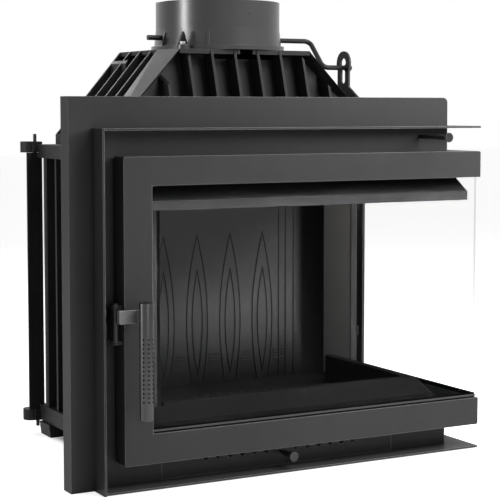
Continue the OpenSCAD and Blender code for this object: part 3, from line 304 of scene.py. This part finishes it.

# %% [markdown]
# The castings outside are painted a satin black, and the flue collar a glossier one. The
# sheets of the surround are smoother, and their edge colour is near bright steel, partly
# rubbed wear and partly painted highlight. In the firebox nothing shines: the linings are
# painted a lighter grey than the iron outside, as painted light, with painted shade where
# light falls least, and the hearth parts are painted darkest of all, as painted shade. The
# handle's arm is dull bare steel, and its grip is darkened steel, smooth enough to carry
# one bright line down its side.

# %% Mix the finishes
FINISH = {
    "cast_iron": metal_finish("cast_iron_paint", (0.016, 0.016, 0.0165), (0.027, 0.027, 0.0275),
        (0.06, 0.06, 0.062), (0.46, 0.6), grain=0.5, dents=0.6, bump=0.00012, specular=0.12),
    # Hearth parts: a darker copy of the cast iron, painted shade for the hearth lying in the shadow
    # of the door.
    "hearth_iron": metal_finish("hearth_iron", (0.004, 0.004, 0.0041), (0.007, 0.007, 0.0071),
        (0.03, 0.03, 0.031), (0.55, 0.7), grain=0.5, dents=0.4, bump=0.0001, specular=0.0),
    # Back lining: a lighter copy of the iron, painted light; painted shade low down and at its
    # right end, and a darker edge colour, painted shade along the relief.
    "lining_iron": metal_finish("lining_iron", (0.065, 0.065, 0.066), (0.078, 0.078, 0.079),
        (0.02, 0.02, 0.02), (0.55, 0.7), grain=0.5, dents=0.3, bump=0.0001, specular=0.0,
        painted_shade=(0.006, 0.006, 0.006),
        painted_shade_at={"Low": 0.07, "High": 0.21, "Near": 0.215, "Far": 0.236}),
    # Side lining: far lighter again, painted light on the inner face of the right lining; painted
    # shade in front of Y 0.079 darkens its front edge.
    "side_lining": metal_finish("side_lining", (0.24, 0.24, 0.242), (0.27, 0.27, 0.272),
        (0.27, 0.27, 0.27), (0.55, 0.7), grain=0.5, dents=0.3, bump=0.0001, specular=0.0,
        painted_shade=(0.03, 0.03, 0.03), painted_shade_at={"Front": 0.079, "Behind": 0.082}),
    # Air deflector: painted shade darkens its upper, sloped part above Z 0.402.
    "deflector_sheet": metal_finish("deflector_sheet", (0.02, 0.02, 0.0205), (0.024, 0.024, 0.0245),
        (0.06, 0.06, 0.061), (0.4, 0.46), grain=0.3, dents=0.05, bump=0.00005, specular=0.05,
        painted_shade=(0.006, 0.006, 0.006), painted_shade_at={"Low": 0.402, "High": 0.393}),
    "flue_iron": metal_finish("flue_iron", (0.016, 0.016, 0.0165), (0.021, 0.021, 0.0215),
        (0.05, 0.05, 0.051), (0.27, 0.29), grain=0.05, dents=0.0, bump=0.00001, specular=0.5),
    "seal_black": metal_finish("seal_black", (0.002, 0.002, 0.002), (0.004, 0.004, 0.004),
        (0.004, 0.004, 0.004), (0.8, 0.9), grain=0.8, bump=0.0001, specular=0.0),
    "bead_steel": metal_finish("bead_steel", (0.045, 0.045, 0.046), (0.055, 0.055, 0.056),
        (0.06, 0.06, 0.06), (0.4, 0.5), grain=0.2, bump=0.00003, specular=0.1),
    # The pale edge colour of the sheets is partly rubbed wear and partly painted highlight along
    # the edges.
    "painted_sheet": metal_finish("sheet_paint", (0.027, 0.027, 0.0275), (0.032, 0.032, 0.0325),
        (0.2, 0.2, 0.204), (0.4, 0.46), grain=0.3, dents=0.05, bump=0.00005, specular=0.08),
    "black_steel": metal_finish("black_steel", (0.008, 0.008, 0.0085), (0.013, 0.013, 0.0135),
        (0.06, 0.06, 0.062), (0.3, 0.4), grain=0.2, dents=0.1, bump=0.00005, specular=0.3),
    "plain_steel": metal_finish("plain_steel", (0.30, 0.30, 0.31), (0.42, 0.42, 0.43),
        (0.55, 0.55, 0.56), (0.32, 0.45), metallic=1.0, grain=0.2, bump=0.00003),
    "handle_steel": metal_finish("handle_steel", (0.11, 0.11, 0.113), (0.14, 0.14, 0.143),
        (0.26, 0.26, 0.27), (0.35, 0.45), metallic=0.4, grain=0.2, bump=0.00003),
    "grip_steel": metal_finish("grip_steel", (0.045, 0.045, 0.0455), (0.05, 0.05, 0.0505),
        (0.06, 0.06, 0.06), (0.24, 0.26), metallic=1.0, grain=0.03, dents=0.0, bump=0.00001),
    "rope_seal": metal_finish("rope_seal", (0.010, 0.010, 0.011), (0.02, 0.02, 0.021),
        (0.04, 0.04, 0.04), (0.85, 0.95), grain=1.5, bump=0.0002, specular=0.2),
    "fire_board": metal_finish("fire_board", (0.30, 0.25, 0.17), (0.42, 0.35, 0.24),
        (0.5, 0.42, 0.3), (0.85, 0.95), grain=1.2, bump=0.0002, specular=0.2),
}
print("finishes:", sorted(FINISH))

# %% [markdown]
# The pane is a clear glass ceramic. A real slab with full transmission is the honest way, but
# light that must bend through it reaches the hearth only as noise, so shadow rays pass
# straight through. Studio shots keep the room out of a stove's glass with a dark screen; a
# low index does the same here, and the hearth stays as dark as in the picture. At the
# corner the cut end of the front pane is looked at along the sheet and shows as a grey line.

# %% Glass
def make_glass(index=1.04, clear=0.99, cut_end=0.6, end_x=0.3233, end_y=-0.1984):
    """A slab of low index for what looks through it, and nothing at all for shadow rays.

    The colour is cut_end right of end_x and before end_y, and clear everywhere else.
    """
    made = bpy.data.materials.new("clear_pane")
    made.use_nodes = True
    tree = made.node_tree
    skin = tree.nodes["Principled BSDF"]
    skin.inputs["Roughness"].default_value = 0.0
    skin.inputs["IOR"].default_value = index
    skin.inputs["Transmission Weight"].default_value = 1.0
    split = tree.nodes.new("ShaderNodeSeparateXYZ")
    tree.links.new(tree.nodes.new("ShaderNodeTexCoord").outputs["Object"], split.inputs["Vector"])
    at_end = math_node(tree, "MULTIPLY",
        math_node(tree, "GREATER_THAN", split.outputs["X"], end_x),
        math_node(tree, "LESS_THAN", split.outputs["Y"], end_y))
    tint = colour_mix(tree, at_end, (clear, clear, clear), (cut_end, cut_end, cut_end))
    tree.links.new(tint, skin.inputs["Base Color"])
    nothing = tree.nodes.new("ShaderNodeBsdfTransparent")
    path = tree.nodes.new("ShaderNodeLightPath")
    either = tree.nodes.new("ShaderNodeMixShader")
    tree.links.new(path.outputs["Is Shadow Ray"], either.inputs["Fac"])
    tree.links.new(skin.outputs["BSDF"], either.inputs[1])
    tree.links.new(nothing.outputs["BSDF"], either.inputs[2])
    tree.links.new(either.outputs["Shader"], tree.nodes["Material Output"].inputs["Surface"])
    return made


FINISH["glass"] = make_glass()
print("glass:", FINISH["glass"].name)

# %% [markdown]
# Most solids take the finish that their slot names. A few have a finish of their own while
# their slot still says what they are made of. The linings, the hearth parts and the air
# deflector are lighter or darker copies of their iron, painted light and painted shade; the
# collar is a glossier paint, and the clips and the latch are black steel.

# %% Paint the solids
FINISH_OF = {"flue_collar": "flue_iron", "back_lining": "lining_iron", "left_lining": "hearth_iron",
    "right_lining": "side_lining", "floor_plate": "hearth_iron", "grate": "hearth_iron",
    "log_guard": "hearth_iron", "lower_frame": "hearth_iron", "ash_pan": "hearth_iron",
    "air_deflector": "deflector_sheet", "glass_clips": "black_steel", "latch_pin": "black_steel",
    "latch_hook": "black_steel", "latch_keeper": "black_steel", "keeper_bolts": "black_steel"}
for name, solid in NODES.items():
    solid.data.materials.clear()
    solid.data.materials.append(FINISH[FINISH_OF.get(name, SLOT_OF[name])])
print("painted", len(NODES), "solids")

# %% [markdown]
# The new pieces are nearly all grids: a shape is worked out for every row and column at
# once, and neighbouring grid points become four-sided faces. Two helpers do the
# bookkeeping. The first numbers the faces. The second makes the object, marks its sharp
# edges and hangs it on the body that its solid belongs to.

# %% Faces of a grid, and a piece made of them
def grid_faces(rows, cols, round_rows=False, round_cols=True, start=0):
    """Each face joins (r, c), (r, c+1), (r+1, c+1), (r+1, c); round ways join up again."""
    r = np.arange(rows if round_rows else rows - 1)[:, None]
    c = np.arange(cols if round_cols else cols - 1)[None, :]
    r2, c2 = (r + 1) % rows, (c + 1) % cols
    corners = [r * cols + c, r * cols + c2, r2 * cols + c2, r2 * cols + c]
    return np.stack(np.broadcast_arrays(*corners), -1).reshape(-1, 4) + start


def make_piece(name, points, faces, finish, body, node=None, sharp=35.0):
    """A mesh from metre points and face lists; sharp is the angle that stays an edge."""
    mesh = bpy.data.meshes.new(name)
    mesh.from_pydata(np.asarray(points).tolist(), [], [list(map(int, f)) for f in faces])
    mesh.validate()
    mesh.polygons.foreach_set("use_smooth", np.ones(len(mesh.polygons), bool))
    mesh.set_sharp_from_angle(angle=math.radians(sharp))
    mesh.materials.append(FINISH[finish])
    piece = bpy.data.objects.new(name, mesh)
    bpy.context.scene.collection.objects.link(piece)
    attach(piece, body)
    if node:
        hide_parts(node)
    return piece


BODY_OF = {n: body for body, held in frame["record"]["behaviour"]["bodies"].items() for n in held}
print("bodies:", sorted(set(BODY_OF.values())))

# %% [markdown]
# The two pull knobs are turned from bar: a disc at the front that narrows like a trumpet
# towards the rod. A turned piece is one curve carried round an axis, so only the curve has
# to be drawn, and a few more points of it round the lip and dish the face.

# %% Turn a curve round an axis
def turned(radius, along, segments=48):
    """Point = radius at every angle, along on the Z axis; a flat cap closes each end.

    radius has one value for each step along, or one for each step and angle.
    """
    angle = np.linspace(0, 2 * np.pi, segments, endpoint=False)
    radius = radius.reshape(len(along), -1)
    points = np.stack(np.broadcast_arrays(radius * np.cos(angle), radius * np.sin(angle),
        along[:, None]), -1).reshape(-1, 3)
    last = (len(along) - 1) * segments
    caps = [list(range(segments))[::-1], list(range(last, last + segments))]
    return points, grid_faces(len(along), segments).tolist() + caps


def stand(points, origin, axis):
    """Turns +Z of a piece drawn at zero into the wanted axis, then moves it to its origin."""
    turn = {"+y": [[1, 0, 0], [0, 0, 1], [0, -1, 0]], "+x": [[0, 0, 1], [1, 0, 0], [0, 1, 0]]}[axis]
    return points @ np.array(turn, float).T + np.asarray(origin)


print("a plain disc takes", len(turned(np.ones(2), np.arange(2.0))[1]), "faces")

# %% Turn the two knobs
def pull_knob(node, waist=0.54, lip_end=0.05, fade=0.2, power=1.3, dish=0.01):
    """Radius = lip * (waist + (1 - waist) * exp(-((s - lip_end) / fade) ^ power)).

    s runs from 0 at the face to 1 at the rod. The first four rings are the rounded lip, and
    the first lies dish of the length deeper, so the face is slightly hollow.
    """
    low, high = (np.array(c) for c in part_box(node))
    lip, length = (high[0] - low[0]) / 2, high[1] - low[1]
    lip_rings = lip * np.array([0.80, 0.93, 0.975, 0.995])
    s = np.concatenate([[0.0, 0.0, 0.012, 0.03, 0.055], np.linspace(0.08, 1.0, 28)])
    radius = lip * (waist + (1 - waist) * np.exp(-(np.maximum(s - lip_end, 0) / fade) ** power))
    radius[:len(lip_rings)] = lip_rings
    along = s * length
    along[0] = length * dish
    points, faces = turned(radius, along)
    middle = [(low[0] + high[0]) / 2, low[1], (low[2] + high[2]) / 2]
    return make_piece("turned_" + node, stand(points, middle, "+y"), faces, SLOT_OF[node],
        BODY_OF[node], node, sharp=50)


for knob in (pull_knob("damper_knob"), pull_knob("air_knob")):
    print(knob.name, len(knob.data.polygons), "faces")

# %% [markdown]
# The grip is a steel tube with rows of small holes that keep it cool. A texture of dots
# would show no depth, and cutting each hole with a boolean is slow. So the tube is laid out
# flat as cells, each a square ring round a shallow pit, and the whole sheet is then rolled
# up. The pits' floors are black steel, a painted shade for the dark inside of each hole. A
# plain sleeve with a small chamfer and a cap finishes each end.

# %% Roll up the perforated grip
def grip_cell(sides=16):
    """At the same angles: points on the edge of the square 0..1, and on a ring of radius 1."""
    angle = (np.arange(sides) - sides / 8) * 2 * np.pi / sides
    ring = np.stack([np.cos(angle), np.sin(angle)], -1)
    square = ring / np.abs(ring).max(-1, keepdims=True)
    return 0.5 + square / 2, ring


def perforated_sheet(radius, columns, rows, first, pitch, hole, wall=0.001, pit=0.003, narrow=0.9):
    """Every cell as four loops: its square edge, the hole's rim, its wall, and the pit's floor.

    A point is (angle, height, distance from the axis), so rolling the sheet up comes later.
    The floor is narrow times as wide as the rim and lies pit below it.
    """
    square, ring = grip_cell()
    column, row = np.meshgrid(np.arange(columns), np.arange(rows), indexing="ij")
    size = np.array([2 * np.pi / columns, pitch])
    corner = np.stack([column * size[0], first + (row - 0.5) * pitch], -1).reshape(-1, 1, 2)
    middle = corner + size / 2
    rim = ring * np.array([hole / radius, hole])
    loops = [corner + square[None] * size, middle + rim, middle + rim, middle + rim * narrow]
    out = [radius, radius, radius - wall, radius - pit]
    sheet = np.stack([np.concatenate([loop, np.full((*loop.shape[:2], 1), r)], -1)
        for loop, r in zip(loops, out)], 1)
    cells, sides = sheet.shape[0], sheet.shape[2]
    begin = np.arange(cells)[:, None] * len(loops) * sides
    faces = (grid_faces(len(loops), sides)[None] + begin[..., None]).reshape(-1, 4).tolist()
    floors = (begin + (len(loops) - 1) * sides + np.arange(sides)).tolist()
    return sheet.reshape(-1, 3), faces, floors


def perforated_grip(node, columns=9, rows=15, first=0.0258, pitch=0.00601, hole=0.0014,
        chamfer=0.0006, plain=0.002, cap_in=0.3):
    """X and Y = distance from the axis * cos and sin of the angle.

    The rings of each sleeve are (height, depth under the tube's skin). The outermost lies
    cap_in of the radius deep and carries the cap.
    """
    low, high = (np.array(c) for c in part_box(node))
    radius, length = (high[0] - low[0]) / 2, high[2] - low[2]
    flat, faces, floors = perforated_sheet(radius, columns, rows, first, pitch, hole)
    around = columns * 4
    angle = np.linspace(0, 2 * np.pi, around, endpoint=False)
    start, stop = first - pitch / 2, first + (rows - 0.5) * pitch
    inner = cap_in * radius
    bottom = np.array([[0.0, inner], [0.0, chamfer], [chamfer, 0.0], [plain, 0.0], [start, 0.0]])
    top = np.array([[stop, 0.0], [0.98 * length, 0.0], [length - chamfer, 0.0],
        [length, chamfer], [length, inner]])
    for rings, cap_ring in ((bottom, 0), (top, len(top) - 1)):
        sleeve = np.stack(np.broadcast_arrays(angle, rings[:, :1], radius - rings[:, 1:]), -1)
        begin = len(flat)
        flat = np.concatenate([flat, sleeve.reshape(-1, 3)])
        faces += grid_faces(len(rings), around, start=begin).tolist()
        cap = list(range(begin + cap_ring * around, begin + (cap_ring + 1) * around))
        faces.append(cap if cap_ring else cap[::-1])
    points = np.stack([flat[:, 2] * np.cos(flat[:, 0]), flat[:, 2] * np.sin(flat[:, 0]),
        flat[:, 1]], -1)
    middle = [(low[0] + high[0]) / 2, (low[1] + high[1]) / 2, low[2]]
    piece = make_piece("perforated_grip", points + middle, faces + floors, SLOT_OF[node],
        BODY_OF[node], node)
    # The pit floors take black steel: painted shade for the dark inside of the holes.
    piece.data.materials.append(FINISH["black_steel"])
    dark = np.zeros(len(piece.data.polygons), np.int32)
    dark[-len(floors):] = 1
    piece.data.polygons.foreach_set("material_index", dark)
    return piece


grip = perforated_grip("handle_grip")
print(grip.name, len(grip.data.polygons), "faces")

# %% [markdown]
# Bolts and nuts have six flats and a turned chamfer. Both come out of one rule: at each
# angle the head is as wide as the nearer of the flat and the chamfer cone, so the curved
# edge where they meet appears by itself.

# %% Hexagon heads and nuts
def hexagon(corner, height, bottom_chamfer=False, segments=48):
    """Radius = smaller of corner * cos 30 / cos(angle to flat) and the chamfer's radius."""
    along = height * np.array([0.0, 0.06, 0.14, 0.5, 0.86, 0.94, 1.0, 1.0])
    cone = corner * np.array([1.01, 1.01, 1.01, 1.01, 1.01, 0.97, 0.9, 0.55])
    if bottom_chamfer:
        cone[:2] = corner * np.array([0.94, 0.98])
    angle = np.linspace(0, 2 * np.pi, segments, endpoint=False)
    flat = corner * np.cos(np.pi / 6) / np.cos((angle + np.pi / 6) % (np.pi / 3) - np.pi / 6)
    return turned(np.minimum(flat[None], cone[:, None]), along, segments)


def join_shapes(shapes):
    """One list of points and faces out of several."""
    points, faces = [], []
    for shape_points, shape_faces in shapes:
        faces += [[i + sum(map(len, points)) for i in f] for f in shape_faces]
        points.append(shape_points)
    return np.concatenate(points), faces


print("a hexagon head takes", len(hexagon(1.0, 1.0)[1]), "faces")

# %% [markdown]
# Three long rods clamp base, walls and hood together, and their threaded ends stand out of
# the lugs. A bump map would leave the outline smooth, so the groove is cut into the shape.
# It needs no helix of its own: the radius only has to fall where the height, less one pitch
# for every turn, is near a whole number of pitches.

# %% Thread on a rod
def threaded(radius, length, thread, pitch=0.001, deep=0.00045, tip=0.7, per_turn=6,
        segments=32):
    """Radius falls by deep * triangle(height / pitch - angle / turn) within the end zones.

    The groove runs out over the last pitch before the plain middle; each end is a flat tip.
    """
    end = np.linspace(0, thread, int(thread / pitch * per_turn))
    along = np.concatenate([end, length - end[::-1]])
    angle = np.linspace(0, 2 * np.pi, segments, endpoint=False)
    phase = (along[:, None] / pitch - angle[None] / (2 * np.pi)) % 1.0
    to_plain = np.minimum(abs(thread - along), abs(length - thread - along))
    groove = deep * np.abs(2 * phase - 1) * np.minimum(1, to_plain / pitch)[:, None]
    wide = radius - groove
    wide[0] = wide[-1] = radius * tip
    return turned(wide, along, segments)


# %% Fasteners of the body and the flue
# All in drawing millimetres: the rods' axes, the axis of the flue, the radius on which the
# collar's bolts stand, and the height of the ears under their heads.
ROD_PLACES = [[41.4, 441.8, 0], [554.8, 441.8, 0], [37.2, 58.3, 0]]
FLUE_MIDDLE = np.array([299.75, 303.0])
BOLT_CIRCLE, EAR_TOP = 113.2, 620.9


def tie_rods(radius=0.003, thread=0.022):
    """Three long rods that clamp the casting, threaded at both ends."""
    low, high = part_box("tie_rods")
    rods = [threaded(radius, high[2] - low[2], thread) for _ in ROD_PLACES]
    return join_shapes([(points + [x, y, low[2]], faces)
        for (points, faces), (x, y, _) in zip(rods, place(ROD_PLACES))])


def collar_bolts(corner=0.0054, height=0.0045, shank=0.003, shank_end=-0.0073, seat=0.0003):
    """Hexagon heads, each with its shank, standing on the two ears of the collar."""
    angles = np.radians([215, 35])
    spots = FLUE_MIDDLE + BOLT_CIRCLE * np.stack([np.cos(angles), np.sin(angles)], -1)
    stem = turned(np.array([shank, shank]), np.array([shank_end, seat]), 24)
    return join_shapes([(points + place([x, y, EAR_TOP]), faces) for x, y in spots
        for points, faces in (hexagon(corner, height), stem)])


rod_points, rod_faces = tie_rods()
rods = make_piece("threaded_tie_rods", rod_points, rod_faces, "black_steel",
    BODY_OF["tie_rods"], "tie_rods", sharp=60)
bolt_points, bolt_faces = collar_bolts()
bolts = make_piece("collar_hexagons", bolt_points, bolt_faces, "plain_steel",
    BODY_OF["collar_bolts"], "collar_bolts")
low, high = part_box("crank_nut")
nut_points, nut_faces = hexagon(corner=0.0076, height=high[0] - low[0], bottom_chamfer=True)
nut_points = stand(nut_points, [low[0], (low[1] + high[1]) / 2, (low[2] + high[2]) / 2], "+x")
nut = make_piece("crank_hexagon", nut_points, nut_faces, "black_steel", BODY_OF["crank_nut"],
    "crank_nut")
print("fasteners:", [(o.name, len(o.data.polygons)) for o in (rods, bolts, nut)])

# %% [markdown]
# A braided glass-fibre rope seals the door. It is one loop: along the bottom, round the
# corner, up the hinge side, back over the top and down the latch side. A smooth tube would
# look like rubber, so the rope's section is pressed flat and its skin rises and falls with
# the strands.

# %% The rope's route
def rope_route(step=1.1, bend=6.0, bend_steps=8):
    """Straight runs and quarter turns of the loop: points, and the way the rope is pressed."""
    left, right, front, rear, bottom, top = 4.8, 559.75, 33.75, 358.7, 42.3, 453.7
    corners = np.array([[left, front, bottom], [right, front, bottom], [right, rear, bottom],
        [right, rear, top], [right, front, top], [left, front, top]])
    press = np.array([[0, -1, 0], [1, 0, 0], [1, 0, 0], [1, 0, 0], [0, -1, 0], [0, -1, 0]], float)
    points, normals = [], []
    for k in range(len(corners)):
        here, after, beyond = (corners[(k + n) % len(corners)] for n in range(3))
        way = (after - here) / np.linalg.norm(after - here)
        turn = (beyond - after) / np.linalg.norm(beyond - after)
        run = np.linalg.norm(after - here) - 2 * bend
        t = np.linspace(0, 1, int(run / step), endpoint=False)[:, None]
        points.append(here + way * (bend + t * run))
        normals.append(np.broadcast_to(press[k], (len(t), 3)))
        a = np.linspace(0, np.pi / 2, bend_steps, endpoint=False)[:, None]
        centre = after - way * bend + turn * bend
        points.append(centre + bend * (np.sin(a) * way - np.cos(a) * turn))
        bent = np.cos(a) * press[k] + np.sin(a) * press[(k + 1) % len(corners)]
        normals.append(bent / np.linalg.norm(bent, axis=1, keepdims=True))
    return place(np.concatenate(points)), np.concatenate(normals)


print("the rope's route has", len(rope_route()[0]), "points")

# %% Braid the rope
def braided_rope(half_wide=0.0040, half_deep=0.00235, around=18, strands=3, lay=0.009,
        relief=0.08):
    """Skin = ellipse * (1 - relief + relief * the higher of two crossing sets of strands)."""
    route, pressed = rope_route()
    ahead = np.roll(route, -1, 0) - np.roll(route, 1, 0)
    ahead /= np.linalg.norm(ahead, axis=1, keepdims=True)
    sideways = np.cross(ahead, pressed)
    sideways /= np.linalg.norm(sideways, axis=1, keepdims=True)
    length = np.linalg.norm(np.roll(route, -1, 0) - route, axis=1)
    turns = round(length.sum() / lay)
    s = (np.cumsum(length) - length[0]) / length.sum() * turns * 2 * np.pi
    phi = np.linspace(0, 2 * np.pi, around, endpoint=False)
    right = np.cos(strands * phi[None] + s[:, None])
    left = np.cos(strands * phi[None] - s[:, None])
    skin = (1 - relief + relief * np.maximum(right, left))[..., None]
    points = route[:, None] + skin * (half_wide * np.cos(phi)[None, :, None] * sideways[:, None]
        + half_deep * np.sin(phi)[None, :, None] * pressed[:, None])
    return points.reshape(-1, 3), grid_faces(len(route), around, round_rows=True)


rope_points, rope_faces = braided_rope()
rope = make_piece("braided_seal", rope_points, rope_faces, "rope_seal", BODY_OF["door_gasket"],
    "door_gasket", sharp=80)
print(rope.name, len(rope.data.polygons), "faces")

# %% [markdown]
# Along the lower edge of the glass the door carries a flat black seal with a narrow metal
# bead on it. In the picture they are the double dark line under the glass. Both are one
# section carried along an L-shaped path, from the left bar round the corner to the rear bar.

# %% Seal and bead under the glass
def edge_strip(name, out, deep, low, high, finish, round_off=0.3):
    """A rounded rectangle (out..deep from the door's face, low..high) along the L path."""
    left, right, rear = 42.7, 593.5, 320.7
    section = np.array([[out + round_off, low], [deep, low], [deep, high],
        [out + round_off, high], [out, high - round_off], [out, low + round_off]])
    d, z = section[:, 0], section[:, 1]
    rings = [np.stack([0 * d + left, d, z], -1), np.stack([right - d, d, z], -1),
        np.stack([right - d, 0 * d + rear, z], -1)]
    sides = len(section)
    faces = grid_faces(3, sides).tolist() + [list(range(sides))[::-1],
        list(range(2 * sides, 3 * sides))]
    return make_piece(name, place(np.concatenate(rings)), faces, finish,
        BODY_OF["front_glass"])


seal = edge_strip("pane_seal", 4.1, 4.7, 79.1, 86.6, "seal_black")
bead = edge_strip("pane_bead", 2.9, 4.1, 81.0, 84.0, "bead_steel")
print(seal.name, bead.name)

# %% [markdown]
# The left wall is welded to the front by a flange that turns outwards behind the panel and
# closes the firebox beside the door. The construction solids leave it out, so it is made
# here: a flat strip from the wall's face to just past the edge of the panel's window.

# %% Weld flange of the left wall
def wall_flange(reach=5.0, thick=4.0, window_left=24.4, bracket=19.0, end_flange=8.3):
    """A box from reach beyond the window's edge to the wall's face.

    The wall's own box ends at the tips of its baffle brackets, so the face is that much
    further left. The strip stands between the wall's two end flanges.
    """
    low, high = (c * 1000 + DOOR_TO_ORIGIN for c in np.array(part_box("left_wall")))
    x = np.array([window_left - reach, high[0] - bracket])
    y = np.array([low[1], low[1] + thick])
    z = np.array([low[2] + end_flange, high[2] - end_flange])
    corners = np.stack([axis.ravel() for axis in np.meshgrid(x, y, z, indexing="ij")], -1)
    faces = [[0, 1, 3, 2], [4, 6, 7, 5], [0, 4, 5, 1], [2, 3, 7, 6], [0, 2, 6, 4], [1, 5, 7, 3]]
    return make_piece("wall_flange", place(corners), faces, "cast_iron",
        BODY_OF["left_wall"])


flange = wall_flange()
print(flange.name, "is", round(flange.dimensions.z * 1000, 1), "mm high")

# %% [markdown]
# The picture shows the insert on pure white. More light would bleach the paint, so the white
# comes from the room and the floor themselves, for the rays that see them directly, in a
# mirror or through the glass. A ray that has already left a matt face finds the room dim,
# and the hearth behind the glass stays dark. Close to the insert the floor doesn't glow,
# which leaves its soft shadow.

# %% Floor and room
def room_rays(tree):
    """1 for camera, mirror and glass rays; 0 once a ray has left a matt face, glass or not."""
    path = tree.nodes.new("ShaderNodeLightPath")
    seen = math_node(tree, "MAXIMUM", path.outputs["Is Camera Ray"], math_node(tree, "MAXIMUM",
        path.outputs["Is Transmission Ray"], path.outputs["Is Glossy Ray"]))
    direct = math_node(tree, "SUBTRACT", 1.0, path.outputs["Diffuse Depth"], clamp=True)
    return math_node(tree, "MULTIPLY", seen, direct)


def pale_floor(half_size=14.0, below=0.0005, shade_x=0.20, shade_y=0.16, fade=0.03, glow=0.8):
    """A square grid just under the feet; its glow rises from 0 at the shade's edge to full."""
    u, v = np.meshgrid(np.linspace(-1, 1, 3), np.linspace(-1, 1, 3), indexing="ij")
    points = np.stack([u * half_size, v * half_size, np.full_like(u, -below)], -1).reshape(-1, 3)
    mesh = bpy.data.meshes.new("floor")
    mesh.from_pydata(points.tolist(), [], grid_faces(3, 3, round_cols=False)[:, ::-1].tolist())
    floor = bpy.data.objects.new("floor", mesh)
    bpy.context.scene.collection.objects.link(floor)
    paint = bpy.data.materials.new("floor_white")
    paint.use_nodes = True
    tree = paint.node_tree
    skin = tree.nodes["Principled BSDF"]
    skin.inputs["Base Color"].default_value = (0.9, 0.9, 0.9, 1.0)
    skin.inputs["Roughness"].default_value = 0.9
    skin.inputs["Emission Color"].default_value = (1.0, 1.0, 1.0, 1.0)
    split = tree.nodes.new("ShaderNodeSeparateXYZ")
    tree.links.new(tree.nodes.new("ShaderNodeTexCoord").outputs["Object"], split.inputs["Vector"])
    aside = [math_node(tree, "SUBTRACT", math_node(tree, "ABSOLUTE", split.outputs[axis]), half)
        for axis, half in (("X", shade_x), ("Y", shade_y))]
    away = tree.nodes.new("ShaderNodeMapRange")
    away.interpolation_type = "SMOOTHSTEP"
    away.inputs["From Max"].default_value = fade
    tree.links.new(math_node(tree, "MAXIMUM", *aside), away.inputs["Value"])
    strength = math_node(tree, "MULTIPLY", away.outputs["Result"],
        math_node(tree, "MULTIPLY", room_rays(tree), glow))
    tree.links.new(strength, skin.inputs["Emission Strength"])
    mesh.materials.append(paint)
    return floor


def white_room(lamp_strength):
    """World strength 1 for rays that see it, lamp_strength for rays that are lit by it."""
    world = bpy.data.worlds.new("room")
    bpy.context.scene.world = world
    world.use_nodes = True
    tree = world.node_tree
    sky = tree.nodes["Background"]
    sky.inputs["Color"].default_value = (1.0, 1.0, 1.0, 1.0)
    level = tree.nodes.new("ShaderNodeMapRange")
    level.inputs["To Min"].default_value = lamp_strength
    level.inputs["To Max"].default_value = 1.0
    tree.links.new(room_rays(tree), level.inputs["Value"])
    tree.links.new(level.outputs["Result"], sky.inputs["Strength"])
    return world


print("stage:", pale_floor().name, white_room(lamp_strength=0.09).name)

# %% [markdown]
# Five area lamps light the insert. The broad one at the right front gives the paint its tone
# and is kept out of reflections, where it would lie as a pale patch on door and ledges. The
# tall strip at the left is the other way round: it is only seen in reflections, where it
# draws a bright line down rounded pieces such as the grip.

# %% Lamps
def soft_lamp(name, at, towards, size, watts, in_reflections=True, on_matt_faces=True):
    """A rectangular area lamp (width, height) at one point, turned to face another."""
    data = bpy.data.lights.new(name, "AREA")
    data.shape = "RECTANGLE"
    data.size, data.size_y = size
    data.energy = watts
    lamp = bpy.data.objects.new(name, data)
    bpy.context.scene.collection.objects.link(lamp)
    lamp.location = at
    lamp.visible_camera = False
    lamp.visible_glossy = in_reflections
    lamp.visible_diffuse = on_matt_faces
    aim = np.subtract(towards, at)
    lamp.rotation_euler = (math.acos(-aim[2] / np.linalg.norm(aim)), 0.0,
        math.atan2(-aim[0], aim[1]))
    return lamp


lamps = [
    soft_lamp("front_lamp", at=(0.55, -0.7, 0.76), towards=(0.0, -0.1, 0.4), size=(0.9, 0.3),
        watts=16.5, in_reflections=False),
    soft_lamp("low_lamp", at=(-0.28, -1.1, 0.32), towards=(0.05, 0.0, 0.25), size=(0.3, 0.3),
        watts=1.6),
    soft_lamp("left_strip", at=(-1.7, 0.10, 0.75), towards=(0.0, 0.05, 0.55), size=(0.17, 1.3),
        watts=34.0, on_matt_faces=False),
    soft_lamp("top_lamp", at=(0.55, -1.25, 1.75), towards=(0.0, 0.0, 0.5), size=(0.7, 0.7),
        watts=19.0),
    soft_lamp("back_lamp", at=(-0.5, 2.0, 1.6), towards=(0.0, 0.1, 0.3), size=(1.0, 1.0),
        watts=28.0),
]
print("lamps:", [lamp.name for lamp in lamps])

# %% [markdown]
# The camera is placed from the picture itself: points whose place on the insert is known
# were fitted to where the picture shows them. That gives a long lens, low and to the left.

# %% Camera
def picture_camera(at, yaw, pitch, lens, shift):
    """Looks along yaw (from +Y towards +X) and pitch (down), both in degrees."""
    data = bpy.data.cameras.new("picture_camera")
    data.lens = lens
    data.sensor_width = 36.0
    data.shift_y = shift
    camera = bpy.data.objects.new("picture_camera", data)
    camera.location = at
    camera.rotation_euler = (math.radians(90 - pitch), 0.0, math.radians(-yaw))
    bpy.context.scene.collection.objects.link(camera)
    bpy.context.scene.camera = camera
    return camera


camera = picture_camera(place([-820.7, -1850.8, 522.9]), yaw=28.704, pitch=4.407, lens=108.78,
    shift=-0.05)
bpy.context.scene.view_settings.view_transform = "Standard"
print("camera stands at", [round(v, 3) for v in camera.location])
